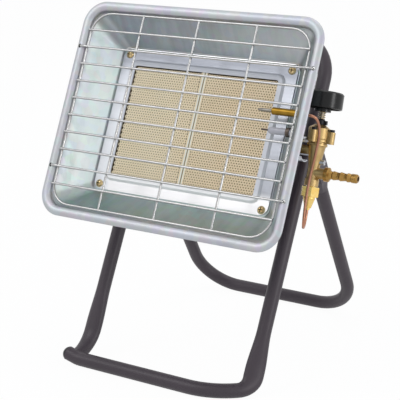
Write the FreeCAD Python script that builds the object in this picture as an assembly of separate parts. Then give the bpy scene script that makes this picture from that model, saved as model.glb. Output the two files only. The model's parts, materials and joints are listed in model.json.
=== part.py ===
"""Portable gas heater: a reflector head with ceramic tiles on a folding tube stand.

Millimetres, +Z up, the heater looks along -Y. Two local frames are used beside the stand's own:
the head frame (x across, y back into the dish, z up along the dish) and the valve frame
(z up along the knob's axis).
"""
import FreeCAD, Part
import math
import os

V = FreeCAD.Vector
X_AXIS = V(1, 0, 0)
Y_AXIS = V(0, 1, 0)
Z_AXIS = V(0, 0, 1)

# Stand: two bent tubes
tube_d = 16.0
tube_wall = 1.2
stand_depth = 307.7          # foot bar to rear bar, centre to centre
frame_half = 107.1           # centre plane to a front leg
frame_lean = 27.7            # degrees back from upright
frame_length = 400.0         # crease at the foot to the carrying bar
foot_length = 28.3           # foot bar to the crease where the legs turn up
foot_turn_in = 33.4          # right leg to where the bar turns back towards it
foot_bend_r = 79.0
crease_r = 19.0
left_crease_r = 41.0
curl_in = 7.1                # left leg to where the bar's end is turned up a little
curl_r = 30.0
bar_past = 7.4               # bar's end beyond the left leg
bar_end_rise = 3.8
cap_h = 5.5
cap_stem_l = 7.0
cap_clear = 0.05
top_bend_r = 46.5
rear_out = 2.2               # rear leg outside the front leg
rear_bend_r = 51.7
pivot_up = 273.2             # crease to the pivot, along the front leg

# Flattened ends of the rear leg and the pivot
tongue_t = 4.0
tongue_w = 22.0
tongue_flat = 45.0           # pivot to the end of the flat
tongue_top = 16.0            # square end beyond the pivot
tongue_blend = 20.0          # flat to round
tongue_gap = 0.4             # to the front tube and to the washer
vent_d = 4.0
bolt_d = 6.0
bolt_clear = 0.2             # radial, bolt in its holes
bolt_head_af = 10.0
bolt_head_h = 4.0
washer_d = 14.0
washer_t = 1.2
nut_h = 5.0
bolt_past = 1.0              # bolt beyond its nut
stop_d = 7.0
stop_stem_d = 4.5
stop_head_d = 8.0
stop_head_t = 1.5
stop_up = 8.0                # pin above the pivot, along the tongue
stop_lead = 0.4              # tongue to stop pin with the leg open

# Head: place and pressed dish
head_front = 104.945         # middle of the dish's mouth before the pivot
head_up = 39.21              # and above it
head_tilt = 25.6
flare_x = 37.7               # floor's edge out to the rim's edge
flare_z = 40.7
rim_corner_r = 27.0
crown_r = 6.5                # outside radius of the rounded rim
crown_y = 4.1                # depth of its centre, where the walls begin
hem_r = 1.5                  # bead along the rim's outer edge
hem_angle = 45.0             # degrees from the outer side round to the front
sheet = 1.2
dish_depth = 40.0
ledge_x = 21.3               # lip's opening out to the floor's edge
ledge_z = 20.3
floor_corner_r = 10.0

# Wire guard
wire_d = 2.5
guard_in_x = 13.5            # inside the rim's edge
guard_in_z = 13.8
guard_corner_r = 24.0
guard_y = 0.0                # depth of the rim wire and uprights
cross_pitch = 20.0
cross_count = 10
upright_pitch = 71.0
upright_count = 3
hook_in = 4.7                # rim's edge to where the long cross wires turn into it
hook_cross = 3               # number of pitches and a half up from the middle
hook_depth = 5.0
joggle_start = 19.0          # from the rim's edge: the hooked wires step forward over the rim
joggle_end = 12.0
joggle_r = 6.0
hook_hole_d = 4.2

# Burner
tile_width = 92.0
tile_height = 132.0
tile_t = 13.0
tile_gap = 5.0               # cement joint
joint_sink = 0.3
lip_cover_x = 3.5            # lip over the tiles' edges
lip_cover_z = 2.0
lip_flat = 5.0
lip_bevel = 2.5
frame_margin = 1.9           # burner frame to the dish wall
gasket_t = 2.5
gasket_land = 6.5
gasket_side = 2.5
box_flange = 13.0
box_corner_r = 8.0
plenum_inset = 10.7
plenum_depth = 33.0
screw_in_x = 9.1             # inside the floor's edge
screw_in_z = 7.7
screw_d = 4.0
screw_head_d = 9.0
screw_head_h = 2.8
screw_length = 9.5
cross_slot_w = 1.1
cross_slot_l = 5.2
small_nut_af = 7.0
small_nut_h = 3.2
hole_clear = 0.25

# Mixing tube and injector
mixer_d = 27.0
mixer_wall = 1.2
mixer_in = -35.0
mixer_short = 12.0           # before the valve's axis
window_short = 43.5
window_height = 19.0
holder_short = 29.5
holder_t = 2.5
injector_af = 12.0
injector_hex = 5.0
injector_nose = 5.0
injector_orifice_d = 1.0

# Gas valve, in its own frame
valve_in = 13.5              # inside the rim's edge
valve_y = 70.3
valve_stand = 8.6            # degrees more upright than the head
body_profile = [(7.7, -38.0), (7.7, -31.0), (6.6, -28.5), (6.2, -18.5), (7.0, -10.0), (9.1, 3.6),
                (9.6, 5.2), (10.9, 5.6), (10.9, 7.6), (10.1, 8.2), (10.1, 9.2), (11.6, 9.8), (11.6, 12.3)]
outlet_d = 9.5
outlet_bore_d = 4.4
shoulder_d = 12.0
shoulder_t = 2.5
inlet_z = -23.5
inlet_d = 11.6
inlet_reach = 14.5
inlet_bore_d = 6.0
lug_angles = (0.0, 90.0, 270.0)
lug_r = 3.8
lug_reach = 14.8
lug_drop = 3.7
bonnet_top = 28.4
bonnet_shoulder = 24.4
bonnet_r = 11.7
bonnet_neck_r = 5.4
lug_top = 21.4
lug_screw_d = 3.0
lug_screw_head_d = 5.4
lug_screw_head_h = 2.8
collar_h = 5.9
collar_r = 4.4
collar_tab = 7.2
collar_tab_w = 3.6
spindle_d = 4.6
spindle_clear = 0.2
drive_side = 3.0
drive_clear = 0.15
drive_bottom = 2.0
plug_top = 11.4
plug_bottom = -9.0
plug_top_r = 5.8
plug_taper = 3.2             # degrees each side
plug_clear = 0.12
rod_d = 2.4
rod_clear = 0.2
rod_bottom = -23.0
chamber_r = 4.8
chamber_top = -25.0
magnet_r = 4.6
magnet_top = -28.2
magnet_nut_af = 17.5
magnet_nut_h = 11.0
magnet_nut_gap = 0.6
gland_h = 12.0
gland_top_r = 6.4
gland_low_r = 3.6
gland_tail_r = 2.4
gland_tail_h = 2.0
flow_screw_z = -11.5
flow_screw_d = 5.4
flow_screw_reach = 11.6
flow_screw_root = 5.5
flow_slot = 0.9

# Knob and its spring
knob_d = 41.0
knob_bottom = 45.9
knob_h = 17.8
knob_wall = 2.4
knob_edge = 1.6
hub_r = 9.0
hub_drop = 3.6
hub_recess_r = 4.9
hub_recess_h = 3.8
knob_press = 4.0
spring_wire = 0.9
spring_r = 3.7
spring_turns = 5
spring_seat = 0.05
pointer_w = 2.4
pointer_h = 0.8

# Hose barb
barb_collar_r = 7.8
barb_collar_t = 4.0
barb_length = 37.4
barb_r = 4.9                 # crests and the plain land at the tip
barb_valley_r = 4.1
barb_bore_d = 5.0
barb_ridges = 3
barb_ridge_pitch = 8.2
barb_first_ridge = 10.0
barb_land = 5.0
barb_nose = 1.6
barb_thread_l = 6.0
barb_thread_r = 4.2

# Probes in the right dish wall, measured in from the rim's edge
probe_y = 20.0
couple_z = 26.4
couple_tip_in = 66.7
couple_tip_d = 3.6
couple_neck_in = 50.2
couple_sleeve_d = 8.0
spark_z = 5.6
spark_tip_in = 58.0
spark_wire_d = 2.0
spark_nose_in = 49.0
spark_d = 7.5
spark_collar_in = 28.5
spark_collar_w = 4.0
spark_collar_d = 10.0
probe_back_in = 11.0
probe_hole_clear = 0.8
probe_plate_in = 16.0
probe_plate_t = 1.6
probe_plate_margin = 5.5
probe_nut_af = 11.0
probe_nut_h = 3.0

# Copper capillary from thermocouple to gland, in the head frame: out of the rim's edge, back, up
lead_d = 3.0
lead_route = [(1.0, 20.6, 26.1), (-4.4, 43.5, 22.5), (-6.8, 55.0, -28.0), (-7.1, 61.0, -66.0)]
lead_bends = [7.5, 13.0, 150.0, 150.0, 9.5, 9.5]
lead_sag = 22.5              # loop under the gland
lead_loop = 20.0             # width of that loop

# Head brackets
bracket_t = 2.0
bracket_low = -30.0
bracket_high = 25.0
bracket_foot_x = 58.0
bracket_tail = 9.0           # past the bolt line
bracket_bolt_drop = 30.0     # lower screw under the pivot, along the leg
bracket_screw_x = 68.0
bracket_screw_pitch = 34.0

# Igniter under the burner box
igniter_x = 45.0
igniter_z = -75.0
igniter_d = 18.0
igniter_length = 31.0
igniter_neck_d = 14.0
igniter_neck_l = 9.0
igniter_nut_af = 17.0
igniter_nut_h = 4.0
igniter_plate_w = 30.0
igniter_plate_top = -32.0
igniter_screw_z = -40.0
igniter_screw_half = 8.0
button_d = 10.0
button_length = 20.0
button_out = 11.0            # beyond the neck
button_clear = 0.2
button_press = 6.0
button_edge = 1.2
terminal_d = 4.0
terminal_l = 5.0

# Values that follow from the ones above
tube_r = tube_d / 2
foot_turn_x = frame_half - foot_turn_in
curl_x = curl_in - frame_half
bar_end_x = -frame_half - bar_past
rear_half = frame_half + rear_out
lip_width = 2 * (tile_width - lip_cover_x) + tile_gap
lip_height = tile_height - 2 * lip_cover_z
floor_width = lip_width + 2 * ledge_x
floor_height = lip_height + 2 * ledge_z
rim_width = floor_width + 2 * flare_x
rim_height = floor_height + 2 * flare_z
rim_x = rim_width / 2
guard_width = rim_width - 2 * guard_in_x
guard_height = rim_height - 2 * guard_in_z
hook_x = rim_x - hook_in
screw_x = floor_width / 2 - screw_in_x
screw_z = floor_height / 2 - screw_in_z
valve_x = rim_x - valve_in
mixer_out = valve_x - mixer_short
window_start = valve_x - window_short
holder_x = valve_x - holder_short
couple_tip_x = rim_x - couple_tip_in
couple_neck_x = rim_x - couple_neck_in
spark_tip_x = rim_x - spark_tip_in
spark_nose_x = rim_x - spark_nose_in
spark_collar_x = rim_x - spark_collar_in
probe_back_x = rim_x - probe_back_in
probe_plate_x = rim_x - probe_plate_in
wire_r = wire_d / 2
front_bar_y = -stand_depth / 2
rear_bar_y = stand_depth / 2
crease_y = front_bar_y + foot_length
lean = math.radians(frame_lean)
leg_dir = V(0, math.sin(lean), math.cos(lean))
crease = V(0, crease_y, tube_r)
pivot = crease + leg_dir * pivot_up
head_y = pivot.y - head_front
head_z = pivot.z + head_up
body_bottom = body_profile[0][1]
body_top = body_profile[-1][1]
barb_tip = valve_x + inlet_reach + barb_length
hem_turn = math.radians(hem_angle)
crown_in = hem_r + (crown_r - hem_r) * math.cos(hem_turn)   # rim's outer edge to the crown's centre
centre_x = (barb_tip - rim_width / 2) / 2
bar_end = V(bar_end_x, front_bar_y, tube_r + bar_end_rise)
curl = V(curl_x, front_bar_y, tube_r)

floor_y = dish_depth
frame_face = floor_y - sheet
lip_face = frame_face - lip_bevel
tile_face = lip_face + sheet
tile_back = tile_face + tile_t
gasket_back = tile_back + gasket_t
flange_y = floor_y + sheet
plenum_back = gasket_back + plenum_depth
box_back = plenum_back + sheet
tile_half_x = tile_gap / 2 + tile_width
tile_half_z = tile_height / 2
well_half_x = tile_half_x + gasket_side
well_half_z = tile_half_z + gasket_side

head = FreeCAD.Placement(V(0, head_y, head_z), FreeCAD.Rotation(X_AXIS, -head_tilt))
valve_in_head = FreeCAD.Placement(V(valve_x, valve_y, 0), FreeCAD.Rotation(X_AXIS, valve_stand))
valve = head.multiply(valve_in_head)


def save(name, shape, frame=FreeCAD.Placement()):
    """Place a piece in the stand's frame, centre the heater on the origin and write it."""
    placed = shape.copy()
    placed.Placement = frame.multiply(placed.Placement)
    placed.translate(V(-centre_x, 0, 0))
    placed.exportStep(os.path.join("parts", name + ".step"))
    volume = placed.Volume / 1000
    print(f"{name}: {len(placed.Solids)} solid(s), {volume:.2f} cm3, valid {placed.isValid()}")


def fuse(shapes):
    """One solid from overlapping or touching ones."""
    return shapes[0].multiFuse(shapes[1:]).removeSplitter()


def mirrored(shape):
    """The same piece on the other side of the heater's middle plane."""
    return shape.mirror(V(0, 0, 0), X_AXIS)


def rod(start, end, radius):
    """Round bar between two points."""
    return Part.makeCylinder(radius, start.distanceToPoint(end), start, end - start)


def rod_x(x0, x1, radius, y=0.0, z=0.0):
    return rod(V(x0, y, z), V(x1, y, z), radius)


def block(x0, x1, y0, y1, z0, z1):
    return Part.makeBox(x1 - x0, y1 - y0, z1 - z0, V(x0, y0, z0))


def turned(profile, axis=Z_AXIS):
    """Lathe work: (radius, height) points closed on the axis, turned about z or along x."""
    if axis == Z_AXIS:
        points = [V(r, 0, h) for r, h in profile]
    else:
        points = [V(h, r, 0) for r, h in profile]
    face = Part.Face(Part.makePolygon(points + points[:1]))
    return face.revolve(V(0, 0, 0), axis, 360)


def hexagon(across_flats, height, start, direction):
    """Hexagon bar with its corners bevelled at both ends, as on a nut or a bolt head."""
    circum = across_flats / math.sqrt(3)
    angles = [k * math.pi / 3 for k in range(6)]
    corners = [V(circum * math.cos(a), circum * math.sin(a), 0) for a in angles]
    bar = Part.Face(Part.makePolygon(corners + corners[:1])).extrude(V(0, 0, height))
    bevel = circum - across_flats / 2
    ring = turned([(0, 0), (across_flats / 2, 0), (circum, bevel / 2), (circum, height - bevel / 2),
                   (across_flats / 2, height), (0, height)])
    shape = bar.common(ring)
    shape.Placement = FreeCAD.Placement(start, FreeCAD.Rotation(Z_AXIS, direction))
    return shape


def rounded_rect(half_x, half_z, radius, y):
    """Rounded rectangle in the head frame, across the dish at depth y."""
    cx = half_x - radius
    cz = half_z - radius
    edges = []
    for quarter in range(4):
        turn = quarter * math.pi / 2
        sx, sz = [(1, 1), (-1, 1), (-1, -1), (1, -1)][quarter]
        nx, nz = [(-1, 1), (-1, -1), (1, -1), (1, 1)][quarter]
        points = [V(sx * cx + radius * math.cos(turn + step * math.pi / 4), y,
                    sz * cz + radius * math.sin(turn + step * math.pi / 4)) for step in range(3)]
        edges.append(Part.Arc(*points).toShape())
        end = turn + math.pi / 2
        following = V(nx * cx + radius * math.cos(end), y, nz * cz + radius * math.sin(end))
        edges.append(Part.LineSegment(points[2], following).toShape())
    return Part.Wire(edges)


def slab(half_x, half_z, radius, y0, y1):
    """Rounded plate between two depths."""
    return Part.Face(rounded_rect(half_x, half_z, radius, y0)).extrude(V(0, y1 - y0, 0))


def tapered(front, back):
    """Straight-walled taper between two rounded rectangles, each (half_x, half_z, radius, y)."""
    return Part.makeLoft([rounded_rect(*front), rounded_rect(*back)], True, True)


def bent_path(points, radii):
    """Straight runs joined by tangent arcs: one radius for each inner point."""
    edges = []
    start = points[0]
    for before, corner, after, radius in zip(points, points[1:], points[2:], radii):
        back = (before - corner).normalize()
        ahead = (after - corner).normalize()
        half = back.getAngle(ahead) / 2
        reach = radius / math.tan(half)
        bisector = (back + ahead).normalize()
        middle = corner + bisector * (radius / math.sin(half) - radius)
        first = corner + back * reach
        last = corner + ahead * reach
        if start.distanceToPoint(first) > 0.001:
            edges.append(Part.LineSegment(start, first).toShape())
        edges.append(Part.Arc(first, middle, last).toShape())
        start = last
    edges.append(Part.LineSegment(start, points[-1]).toShape())
    return Part.Wire(edges)


def swept(path, radius):
    """Round section carried along a path."""
    first = path.Edges[0]
    start = first.valueAt(first.FirstParameter)
    direction = first.tangentAt(first.FirstParameter)
    ring = Part.Wire(Part.makeCircle(radius, start, direction))
    return path.makePipeShell([ring], True, False)


def tangent_arc(start, tangent, end):
    """Arc that leaves start along tangent and reaches end."""
    chord = end - start
    along = V(chord).normalize()
    side = tangent - along * tangent.dot(along)
    bulge = chord.Length / 2 * math.tan(tangent.getAngle(chord) / 2)
    return Part.Arc(start, start + chord / 2 + side.normalize() * bulge, end).toShape()


def coil_path(radius, bottom, top, turns):
    """Helix about z, each quarter turn as two tangent arcs."""
    rise = (top - bottom) / turns / (2 * math.pi)
    stops = []
    for quarter in range(4 * turns + 1):
        angle = quarter * math.pi / 2
        point = V(radius * math.cos(angle), radius * math.sin(angle), bottom + rise * angle)
        tangent = V(-radius * math.sin(angle), radius * math.cos(angle), rise).normalize()
        stops.append((point, tangent))
    edges = []
    for (p1, t1), (p2, t2) in zip(stops, stops[1:]):
        span = p2 - p1
        both = span.dot(t1 + t2)
        bend = 2 * (1 - t1.dot(t2))
        reach = (math.sqrt(both * both + bend * span.dot(span)) - both) / bend
        joint = (p1 + t1 * reach + p2 - t2 * reach) / 2
        tangent = ((p2 - t2 * reach) - (p1 + t1 * reach)).normalize()
        edges.append(tangent_arc(p1, t1, joint))
        edges.append(tangent_arc(joint, tangent, p2))
    return Part.Wire(edges)


# Stand

def leg_point(x, along):
    """Point of the front frame's plane: x across, along the legs from the crease."""
    return crease + leg_dir * along + V(x, 0, 0)


def front_frame():
    """One bent tube: foot bar, right leg, carrying bar and left leg, its foot welded to the bar."""
    top = leg_point(0, frame_length)
    right = [bar_end, curl, V(foot_turn_x, front_bar_y, tube_r), leg_point(frame_half, 0),
             leg_point(frame_half, frame_length), top]
    left = [top, leg_point(-frame_half, frame_length), leg_point(-frame_half, 0),
            V(-frame_half, front_bar_y, tube_r)]
    right_path = bent_path(right, [curl_r, foot_bend_r, crease_r, top_bend_r])
    left_path = bent_path(left, [top_bend_r, left_crease_r])
    right_tube = swept(right_path, tube_r)
    left_bore = swept(left_path, tube_r - tube_wall).cut(right_tube)
    frame = fuse([right_tube, swept(left_path, tube_r)])
    frame = frame.cut(swept(right_path, tube_r - tube_wall)).cut(left_bore)
    frame = frame.cut(rod_x(-rim_width, rim_width, bolt_d / 2 + bolt_clear, pivot.y, pivot.z))
    low = leg_point(0, pivot_up - bracket_bolt_drop)
    return frame.cut(rod_x(-frame_half, frame_half, bolt_d / 2, low.y, low.z))


def foot_cap():
    """Domed plug in the open end of the foot bar."""
    dome_r = (tube_r ** 2 + cap_h ** 2) / (2 * cap_h)
    ball = Part.makeSphere(dome_r, V(0, 0, cap_h - dome_r))
    dome = ball.common(Part.makeCylinder(tube_r, cap_h))
    stem = Part.makeCylinder(tube_r - tube_wall - cap_clear, cap_stem_l, V(0, 0, -cap_stem_l))
    cap = fuse([dome, stem])
    cap.Placement = FreeCAD.Placement(bar_end, FreeCAD.Rotation(Z_AXIS, bar_end - curl))
    return cap


def rear_direction():
    """From the rear bar up to the pivot."""
    return (pivot - V(0, rear_bar_y, tube_r)).normalize()


def tongue_middle():
    """Distance from the middle plane to the middle of a flattened end."""
    return frame_half + tube_r + tongue_gap + tongue_t / 2


def rear_leg():
    """U of tube whose two ends are pressed flat and set out to pass beside the front legs."""
    up = rear_direction()
    across = up.cross(X_AXIS)
    reach = tongue_flat + tongue_blend
    ends = [pivot - up * reach + V(side * rear_half, 0, 0) for side in (-1, 1)]
    corners = [V(side * rear_half, rear_bar_y, tube_r) for side in (-1, 1)]
    path = bent_path([ends[0], corners[0], corners[1], ends[1]], [rear_bend_r, rear_bend_r])
    pieces = [swept(path, tube_r)]
    bore = swept(path, tube_r - tube_wall)
    holes = []
    for side in (-1, 1):
        middle = pivot + V(side * tongue_middle(), 0, 0)
        flat_end = middle - up * tongue_flat
        round_end = pivot - up * reach + V(side * rear_half, 0, 0)
        out = V(tongue_t / 2, 0, 0)
        wide = across * (tongue_w / 2)
        square = [flat_end + out + wide, flat_end - out + wide,
                  flat_end - out - wide, flat_end + out - wide]
        flat = Part.makePolygon(square + square[:1])
        ring = []
        for k in range(4):
            spots = [math.pi / 4 + (k + step / 2) * math.pi / 2 for step in range(3)]
            points = [round_end + (X_AXIS * math.cos(a) + across * math.sin(a)) * tube_r for a in spots]
            ring.append(Part.Arc(*points).toShape())
        pieces.append(Part.makeLoft([Part.Wire(ring), flat], True, True))
        tongue = Part.Face(flat).extrude(up * (tongue_flat + tongue_top))
        top_edges = [edge for edge in tongue.Edges if abs(edge.tangentAt(edge.FirstParameter).x) > 0.9
                     and (edge.CenterOfMass - pivot).dot(up) > 0]
        pieces.append(tongue.makeFillet(tongue_top / 4, top_edges))
        start = middle - out
        holes.append(rod(start - out * 4, start + out * 6, bolt_d / 2 + bolt_clear))
        vent = round_end - up * tube_d
        holes.append(rod(vent, vent - V(side * tube_d, 0, 0), vent_d / 2))
    return fuse(pieces).cut(bore).cut(Part.makeCompound(holes))


def stop_place():
    """Stop pin in front of the open tongue's square end, which meets it if the leg is pushed further."""
    up = rear_direction()
    forward = up.cross(X_AXIS) * -1
    return pivot + up * stop_up + forward * (tongue_w / 2 + stop_d / 2 + stop_lead)


def on_side(side, x, centre):
    """Point beside a leg: x from the middle plane, height and depth of a given centre."""
    return V(side * x, centre.y, centre.z)


def bolt(side, head_face, tip, centre):
    """Hexagon bolt across the stand, its head on the inner side."""
    shank = rod(on_side(side, head_face, centre), on_side(side, tip, centre), bolt_d / 2)
    top = on_side(side, head_face - bolt_head_h, centre)
    return fuse([shank, hexagon(bolt_head_af, bolt_head_h, top, V(side, 0, 0))])


def stop_pin(side):
    """Shouldered pin riveted into a head bracket."""
    face = frame_half - tube_r
    tip = frame_half + tube_r + 2 * tongue_gap + tongue_t
    place = stop_place()
    body = rod(on_side(side, face, place), on_side(side, tip, place), stop_d / 2)
    stem = rod(on_side(side, face - bracket_t, place), on_side(side, face, place), stop_stem_d / 2)
    inner = on_side(side, face - bracket_t, place)
    rivet = rod(inner - V(side * stop_head_t, 0, 0), inner, stop_head_d / 2)
    return fuse([body, stem, rivet])


def stand_fasteners():
    """Pivot bolts with washers and nuts, lower bracket screws and stop pins, on both sides."""
    head_face = frame_half - tube_r - bracket_t
    washer_x = frame_half + tube_r + 2 * tongue_gap + tongue_t
    nut_x = washer_x + washer_t
    tip = nut_x + nut_h + bolt_past
    low = leg_point(0, pivot_up - bracket_bolt_drop)
    washers = []
    nuts = []
    for side in (-1, 1):
        bore = rod(on_side(side, 0, pivot), on_side(side, rim_width, pivot), bolt_d / 2)
        washer = rod(on_side(side, washer_x, pivot), on_side(side, nut_x, pivot), washer_d / 2)
        washers.append(washer.cut(bore))
        nut = hexagon(bolt_head_af, nut_h, on_side(side, nut_x, pivot), V(side, 0, 0))
        nuts.append(nut.cut(bore))
    sides = (-1, 1)
    save("pivot_bolts", Part.makeCompound([bolt(side, head_face, tip, pivot) for side in sides]))
    save("pivot_washers", Part.makeCompound(washers))
    save("pivot_nuts", Part.makeCompound(nuts))
    save("bracket_bolts", Part.makeCompound([bolt(side, head_face, frame_half, low) for side in sides]))
    save("leg_stop_pins", Part.makeCompound([stop_pin(side) for side in sides]))


# Reflector and guard

def rim_section(x, z, direction):
    """Section of the rim at a place on its crown line; direction points out of the dish."""
    centre = V(x, crown_y, z)

    def at(radius, angle):
        return centre + direction * (radius * math.cos(angle)) + V(0, -radius * math.sin(angle), 0)

    angles = [math.pi, (math.pi + hem_turn) / 2, hem_turn]
    outer = [at(crown_r, a) for a in angles]
    inner = [at(crown_r - sheet, a) for a in angles]
    edges = [Part.Arc(*outer), Part.LineSegment(outer[2], inner[2]),
             Part.Arc(*reversed(inner)), Part.LineSegment(inner[0], outer[0])]
    crown = Part.Wire([edge.toShape() for edge in edges])
    bead = Part.Wire(Part.makeCircle(hem_r, at(crown_r - hem_r, hem_turn), direction.cross(Y_AXIS)))
    return [Part.Face(crown), Part.Face(bead)]


def rounded_rim():
    """The sheet's edge crowned outwards and hemmed all round: four straights and four corners."""
    line_x = rim_width / 2 - crown_in
    line_z = rim_height / 2 - crown_in
    corner_x = rim_width / 2 - rim_corner_r
    corner_z = rim_height / 2 - rim_corner_r
    quarter = []
    for face in rim_section(line_x, 0, X_AXIS):
        quarter.append(face.extrude(V(0, 0, corner_z)))
    for face in rim_section(0, line_z, Z_AXIS):
        quarter.append(face.extrude(V(corner_x, 0, 0)))
    for face in rim_section(line_x, corner_z, X_AXIS):
        quarter.append(face.revolve(V(corner_x, 0, corner_z), V(0, -1, 0), 90))
    first = fuse(quarter)
    upper = fuse([first, mirrored(first)])
    return fuse([upper, upper.mirror(V(0, 0, 0), Z_AXIS)])


def wall_at(depth):
    """Half width of the dish wall's inner face at a depth."""
    mouth = rim_width / 2 - crown_in - crown_r
    share = (depth - crown_y) / (dish_depth - crown_y)
    return mouth + (floor_width / 2 - mouth) * share


def dish_mouth(outset):
    """Rounded rectangle where the walls leave the rim."""
    inset = crown_in + crown_r - outset
    return rim_width / 2 - inset, rim_height / 2 - inset, rim_corner_r - inset, crown_y


def dish_outside():
    """Space enclosed by the outer faces of the walls and floor."""
    back = (floor_width / 2 + sheet, floor_height / 2 + sheet, floor_corner_r + sheet, floor_y + sheet)
    return tapered(dish_mouth(sheet), back)


def reflector():
    """Pressed dish: rolled rim, four sloping walls and a flat floor with the burner opening."""
    inside = tapered(dish_mouth(0), (floor_width / 2, floor_height / 2, floor_corner_r, floor_y))
    opening = slab(well_half_x, well_half_z, box_corner_r, 0, dish_depth * 2)
    dish = fuse([dish_outside().cut(inside).cut(opening), rounded_rim()])
    holes = []
    for side in (-1, 1):
        for up in (-1, 1):
            spot = V(side * hook_x, -crown_r, up * hook_z())
            holes.append(rod(spot, spot + V(0, 2 * crown_r, 0), hook_hole_d / 2))
            spot = V(side * screw_x, 0, up * screw_z)
            holes.append(rod(spot, spot + V(0, 2 * dish_depth, 0), screw_d / 2 + hole_clear))
    wall_x = wall_at(probe_y)
    for z, diameter in ((couple_z, couple_sleeve_d), (spark_z, spark_collar_d)):
        radius = diameter / 2 + probe_hole_clear
        holes.append(rod_x(wall_x - 2 * crown_r, wall_x + 2 * crown_r, radius, probe_y, z))
    return dish.cut(Part.makeCompound(holes))


def hook_z():
    return cross_pitch * (hook_cross + 0.5)


def guard():
    """Welded wire guard: rim wire, uprights in its plane, cross wires over them, four hooked ends."""
    half_x = guard_width / 2
    half_z = guard_height / 2
    loop = rounded_rect(half_x, half_z, guard_corner_r, guard_y)
    loop_start = loop.Edges[0].valueAt(loop.Edges[0].FirstParameter)
    loop_heading = loop.Edges[0].tangentAt(loop.Edges[0].FirstParameter)
    ring = Part.Wire(Part.makeCircle(wire_r, loop_start, loop_heading))
    save("grille_rim_wire", loop.makePipeShell([ring], True, False), head)
    uprights = []
    for k in range(upright_count):
        x = (k - (upright_count - 1) / 2) * upright_pitch
        end = half_z - wire_r
        uprights.append(rod(V(x, guard_y, -end), V(x, guard_y, end), wire_r))
    save("grille_upright_wires", Part.makeCompound(uprights), head)
    crosses = []
    front = guard_y - wire_d
    for k in range(cross_count):
        z = (k - (cross_count - 1) / 2) * cross_pitch
        if abs(abs(z) - hook_z()) < wire_r:
            over = crown_y - crown_r - wire_r
            half = [V(hook_x, over + hook_depth, z), V(hook_x, over, z), V(rim_x - joggle_end, over, z),
                    V(rim_x - joggle_start, front, z)]
            other = [V(-spot.x, spot.y, spot.z) for spot in reversed(half)]
            bends = [wire_d, joggle_r, joggle_r]
            crosses.append(swept(bent_path(half + other, bends + bends[::-1]), wire_r))
        else:
            crosses.append(rod_x(-half_x - wire_r, half_x + wire_r, wire_r, front, z))
    save("grille_cross_wires", Part.makeCompound(crosses), head)


# Burner

def burner_frame():
    """Pressed frame over the tiles' edges, with a raised lip."""
    half_x = floor_width / 2 - frame_margin
    half_z = floor_height / 2 - frame_margin
    lip_x = lip_width / 2 + lip_flat
    lip_z = lip_height / 2 + lip_flat
    foot_x = lip_x + lip_bevel
    foot_z = lip_z + lip_bevel
    corner = floor_corner_r
    plate = slab(half_x, half_z, corner, frame_face, floor_y)
    lip = tapered((lip_x, lip_z, corner - lip_bevel, lip_face), (foot_x, foot_z, corner, frame_face))
    under = tapered((lip_x - sheet, lip_z - sheet, corner - lip_bevel, tile_face),
                    (foot_x - sheet, foot_z - sheet, corner, floor_y))
    opening = slab(lip_width / 2, lip_height / 2, corner / 4, 0, dish_depth * 2)
    frame = fuse([plate, lip]).cut(under).cut(opening)
    return frame.cut(screw_bores(0, dish_depth * 2))


def screw_bores(y0, y1):
    """Clearance holes for the four burner screws."""
    bores = []
    for x in (-screw_x, screw_x):
        for z in (-screw_z, screw_z):
            bores.append(rod(V(x, y0, z), V(x, y1, z), screw_d / 2 + hole_clear))
    return Part.makeCompound(bores)


def pan_screw(length):
    """Cross-head screw standing on z = 0 with its shank below."""
    r = screw_head_d / 2
    rise = screw_head_h
    shank_r = screw_d / 2
    dome = Part.Arc(V(0, 0, rise), V(r * 0.62, 0, rise * 0.82), V(r, 0, rise * 0.2)).toShape()
    sides = Part.makePolygon([V(r, 0, rise * 0.2), V(r, 0, 0), V(shank_r, 0, 0), V(shank_r, 0, -length),
                              V(0, 0, -length), V(0, 0, rise)])
    screw = Part.Face(Part.Wire([dome] + sides.Edges)).revolve(V(0, 0, 0), Z_AXIS, 360)
    half_l = cross_slot_l / 2
    half_w = cross_slot_w / 2
    slot = block(-half_l, half_l, -half_w, half_w, rise / 2, rise * 2)
    turned_slot = slot.copy()
    turned_slot.rotate(V(0, 0, 0), Z_AXIS, 90)
    return screw.cut(slot).cut(turned_slot)


def burner_fasteners():
    """Four screws through frame, dish floor and box flange, with a nut each."""
    screws = []
    nuts = []
    nut_y = flange_y + sheet
    for x in (-screw_x, screw_x):
        for z in (-screw_z, screw_z):
            screw = pan_screw(screw_length)
            facing = FreeCAD.Rotation(Z_AXIS, V(0, -1, 0))
            screw.Placement = FreeCAD.Placement(V(x, frame_face, z), facing)
            screws.append(screw)
            nut = hexagon(small_nut_af, small_nut_h, V(x, nut_y, z), Y_AXIS)
            nuts.append(nut.cut(rod(V(x, 0, z), V(x, dish_depth * 2, z), screw_d / 2)))
    save("burner_screws", Part.makeCompound(screws), head)
    save("burner_nuts", Part.makeCompound(nuts), head)


def tiles():
    """Two ceramic plaques with a cement joint, and the fibre gasket behind them."""
    left = block(-tile_half_x, -tile_gap / 2, tile_face, tile_back, -tile_half_z, tile_half_z)
    save("ceramic_tile_left", left, head)
    save("ceramic_tile_right", mirrored(left), head)
    joint_face = tile_face + joint_sink
    joint = block(-tile_gap / 2, tile_gap / 2, joint_face, tile_back, -tile_half_z, tile_half_z)
    save("tile_cement_joint", joint, head)
    outer = slab(well_half_x, well_half_z, box_corner_r, tile_back, gasket_back)
    window_x = tile_half_x - gasket_land
    window_z = tile_half_z - gasket_land
    inner = slab(window_x, window_z, box_corner_r / 2, 0, gasket_back * 2)
    side = slab(well_half_x, well_half_z, box_corner_r, flange_y, tile_back)
    side = side.cut(block(-tile_half_x, tile_half_x, 0, tile_back, -tile_half_z, tile_half_z))
    save("tile_gasket", fuse([outer.cut(inner), side]), head)


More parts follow.
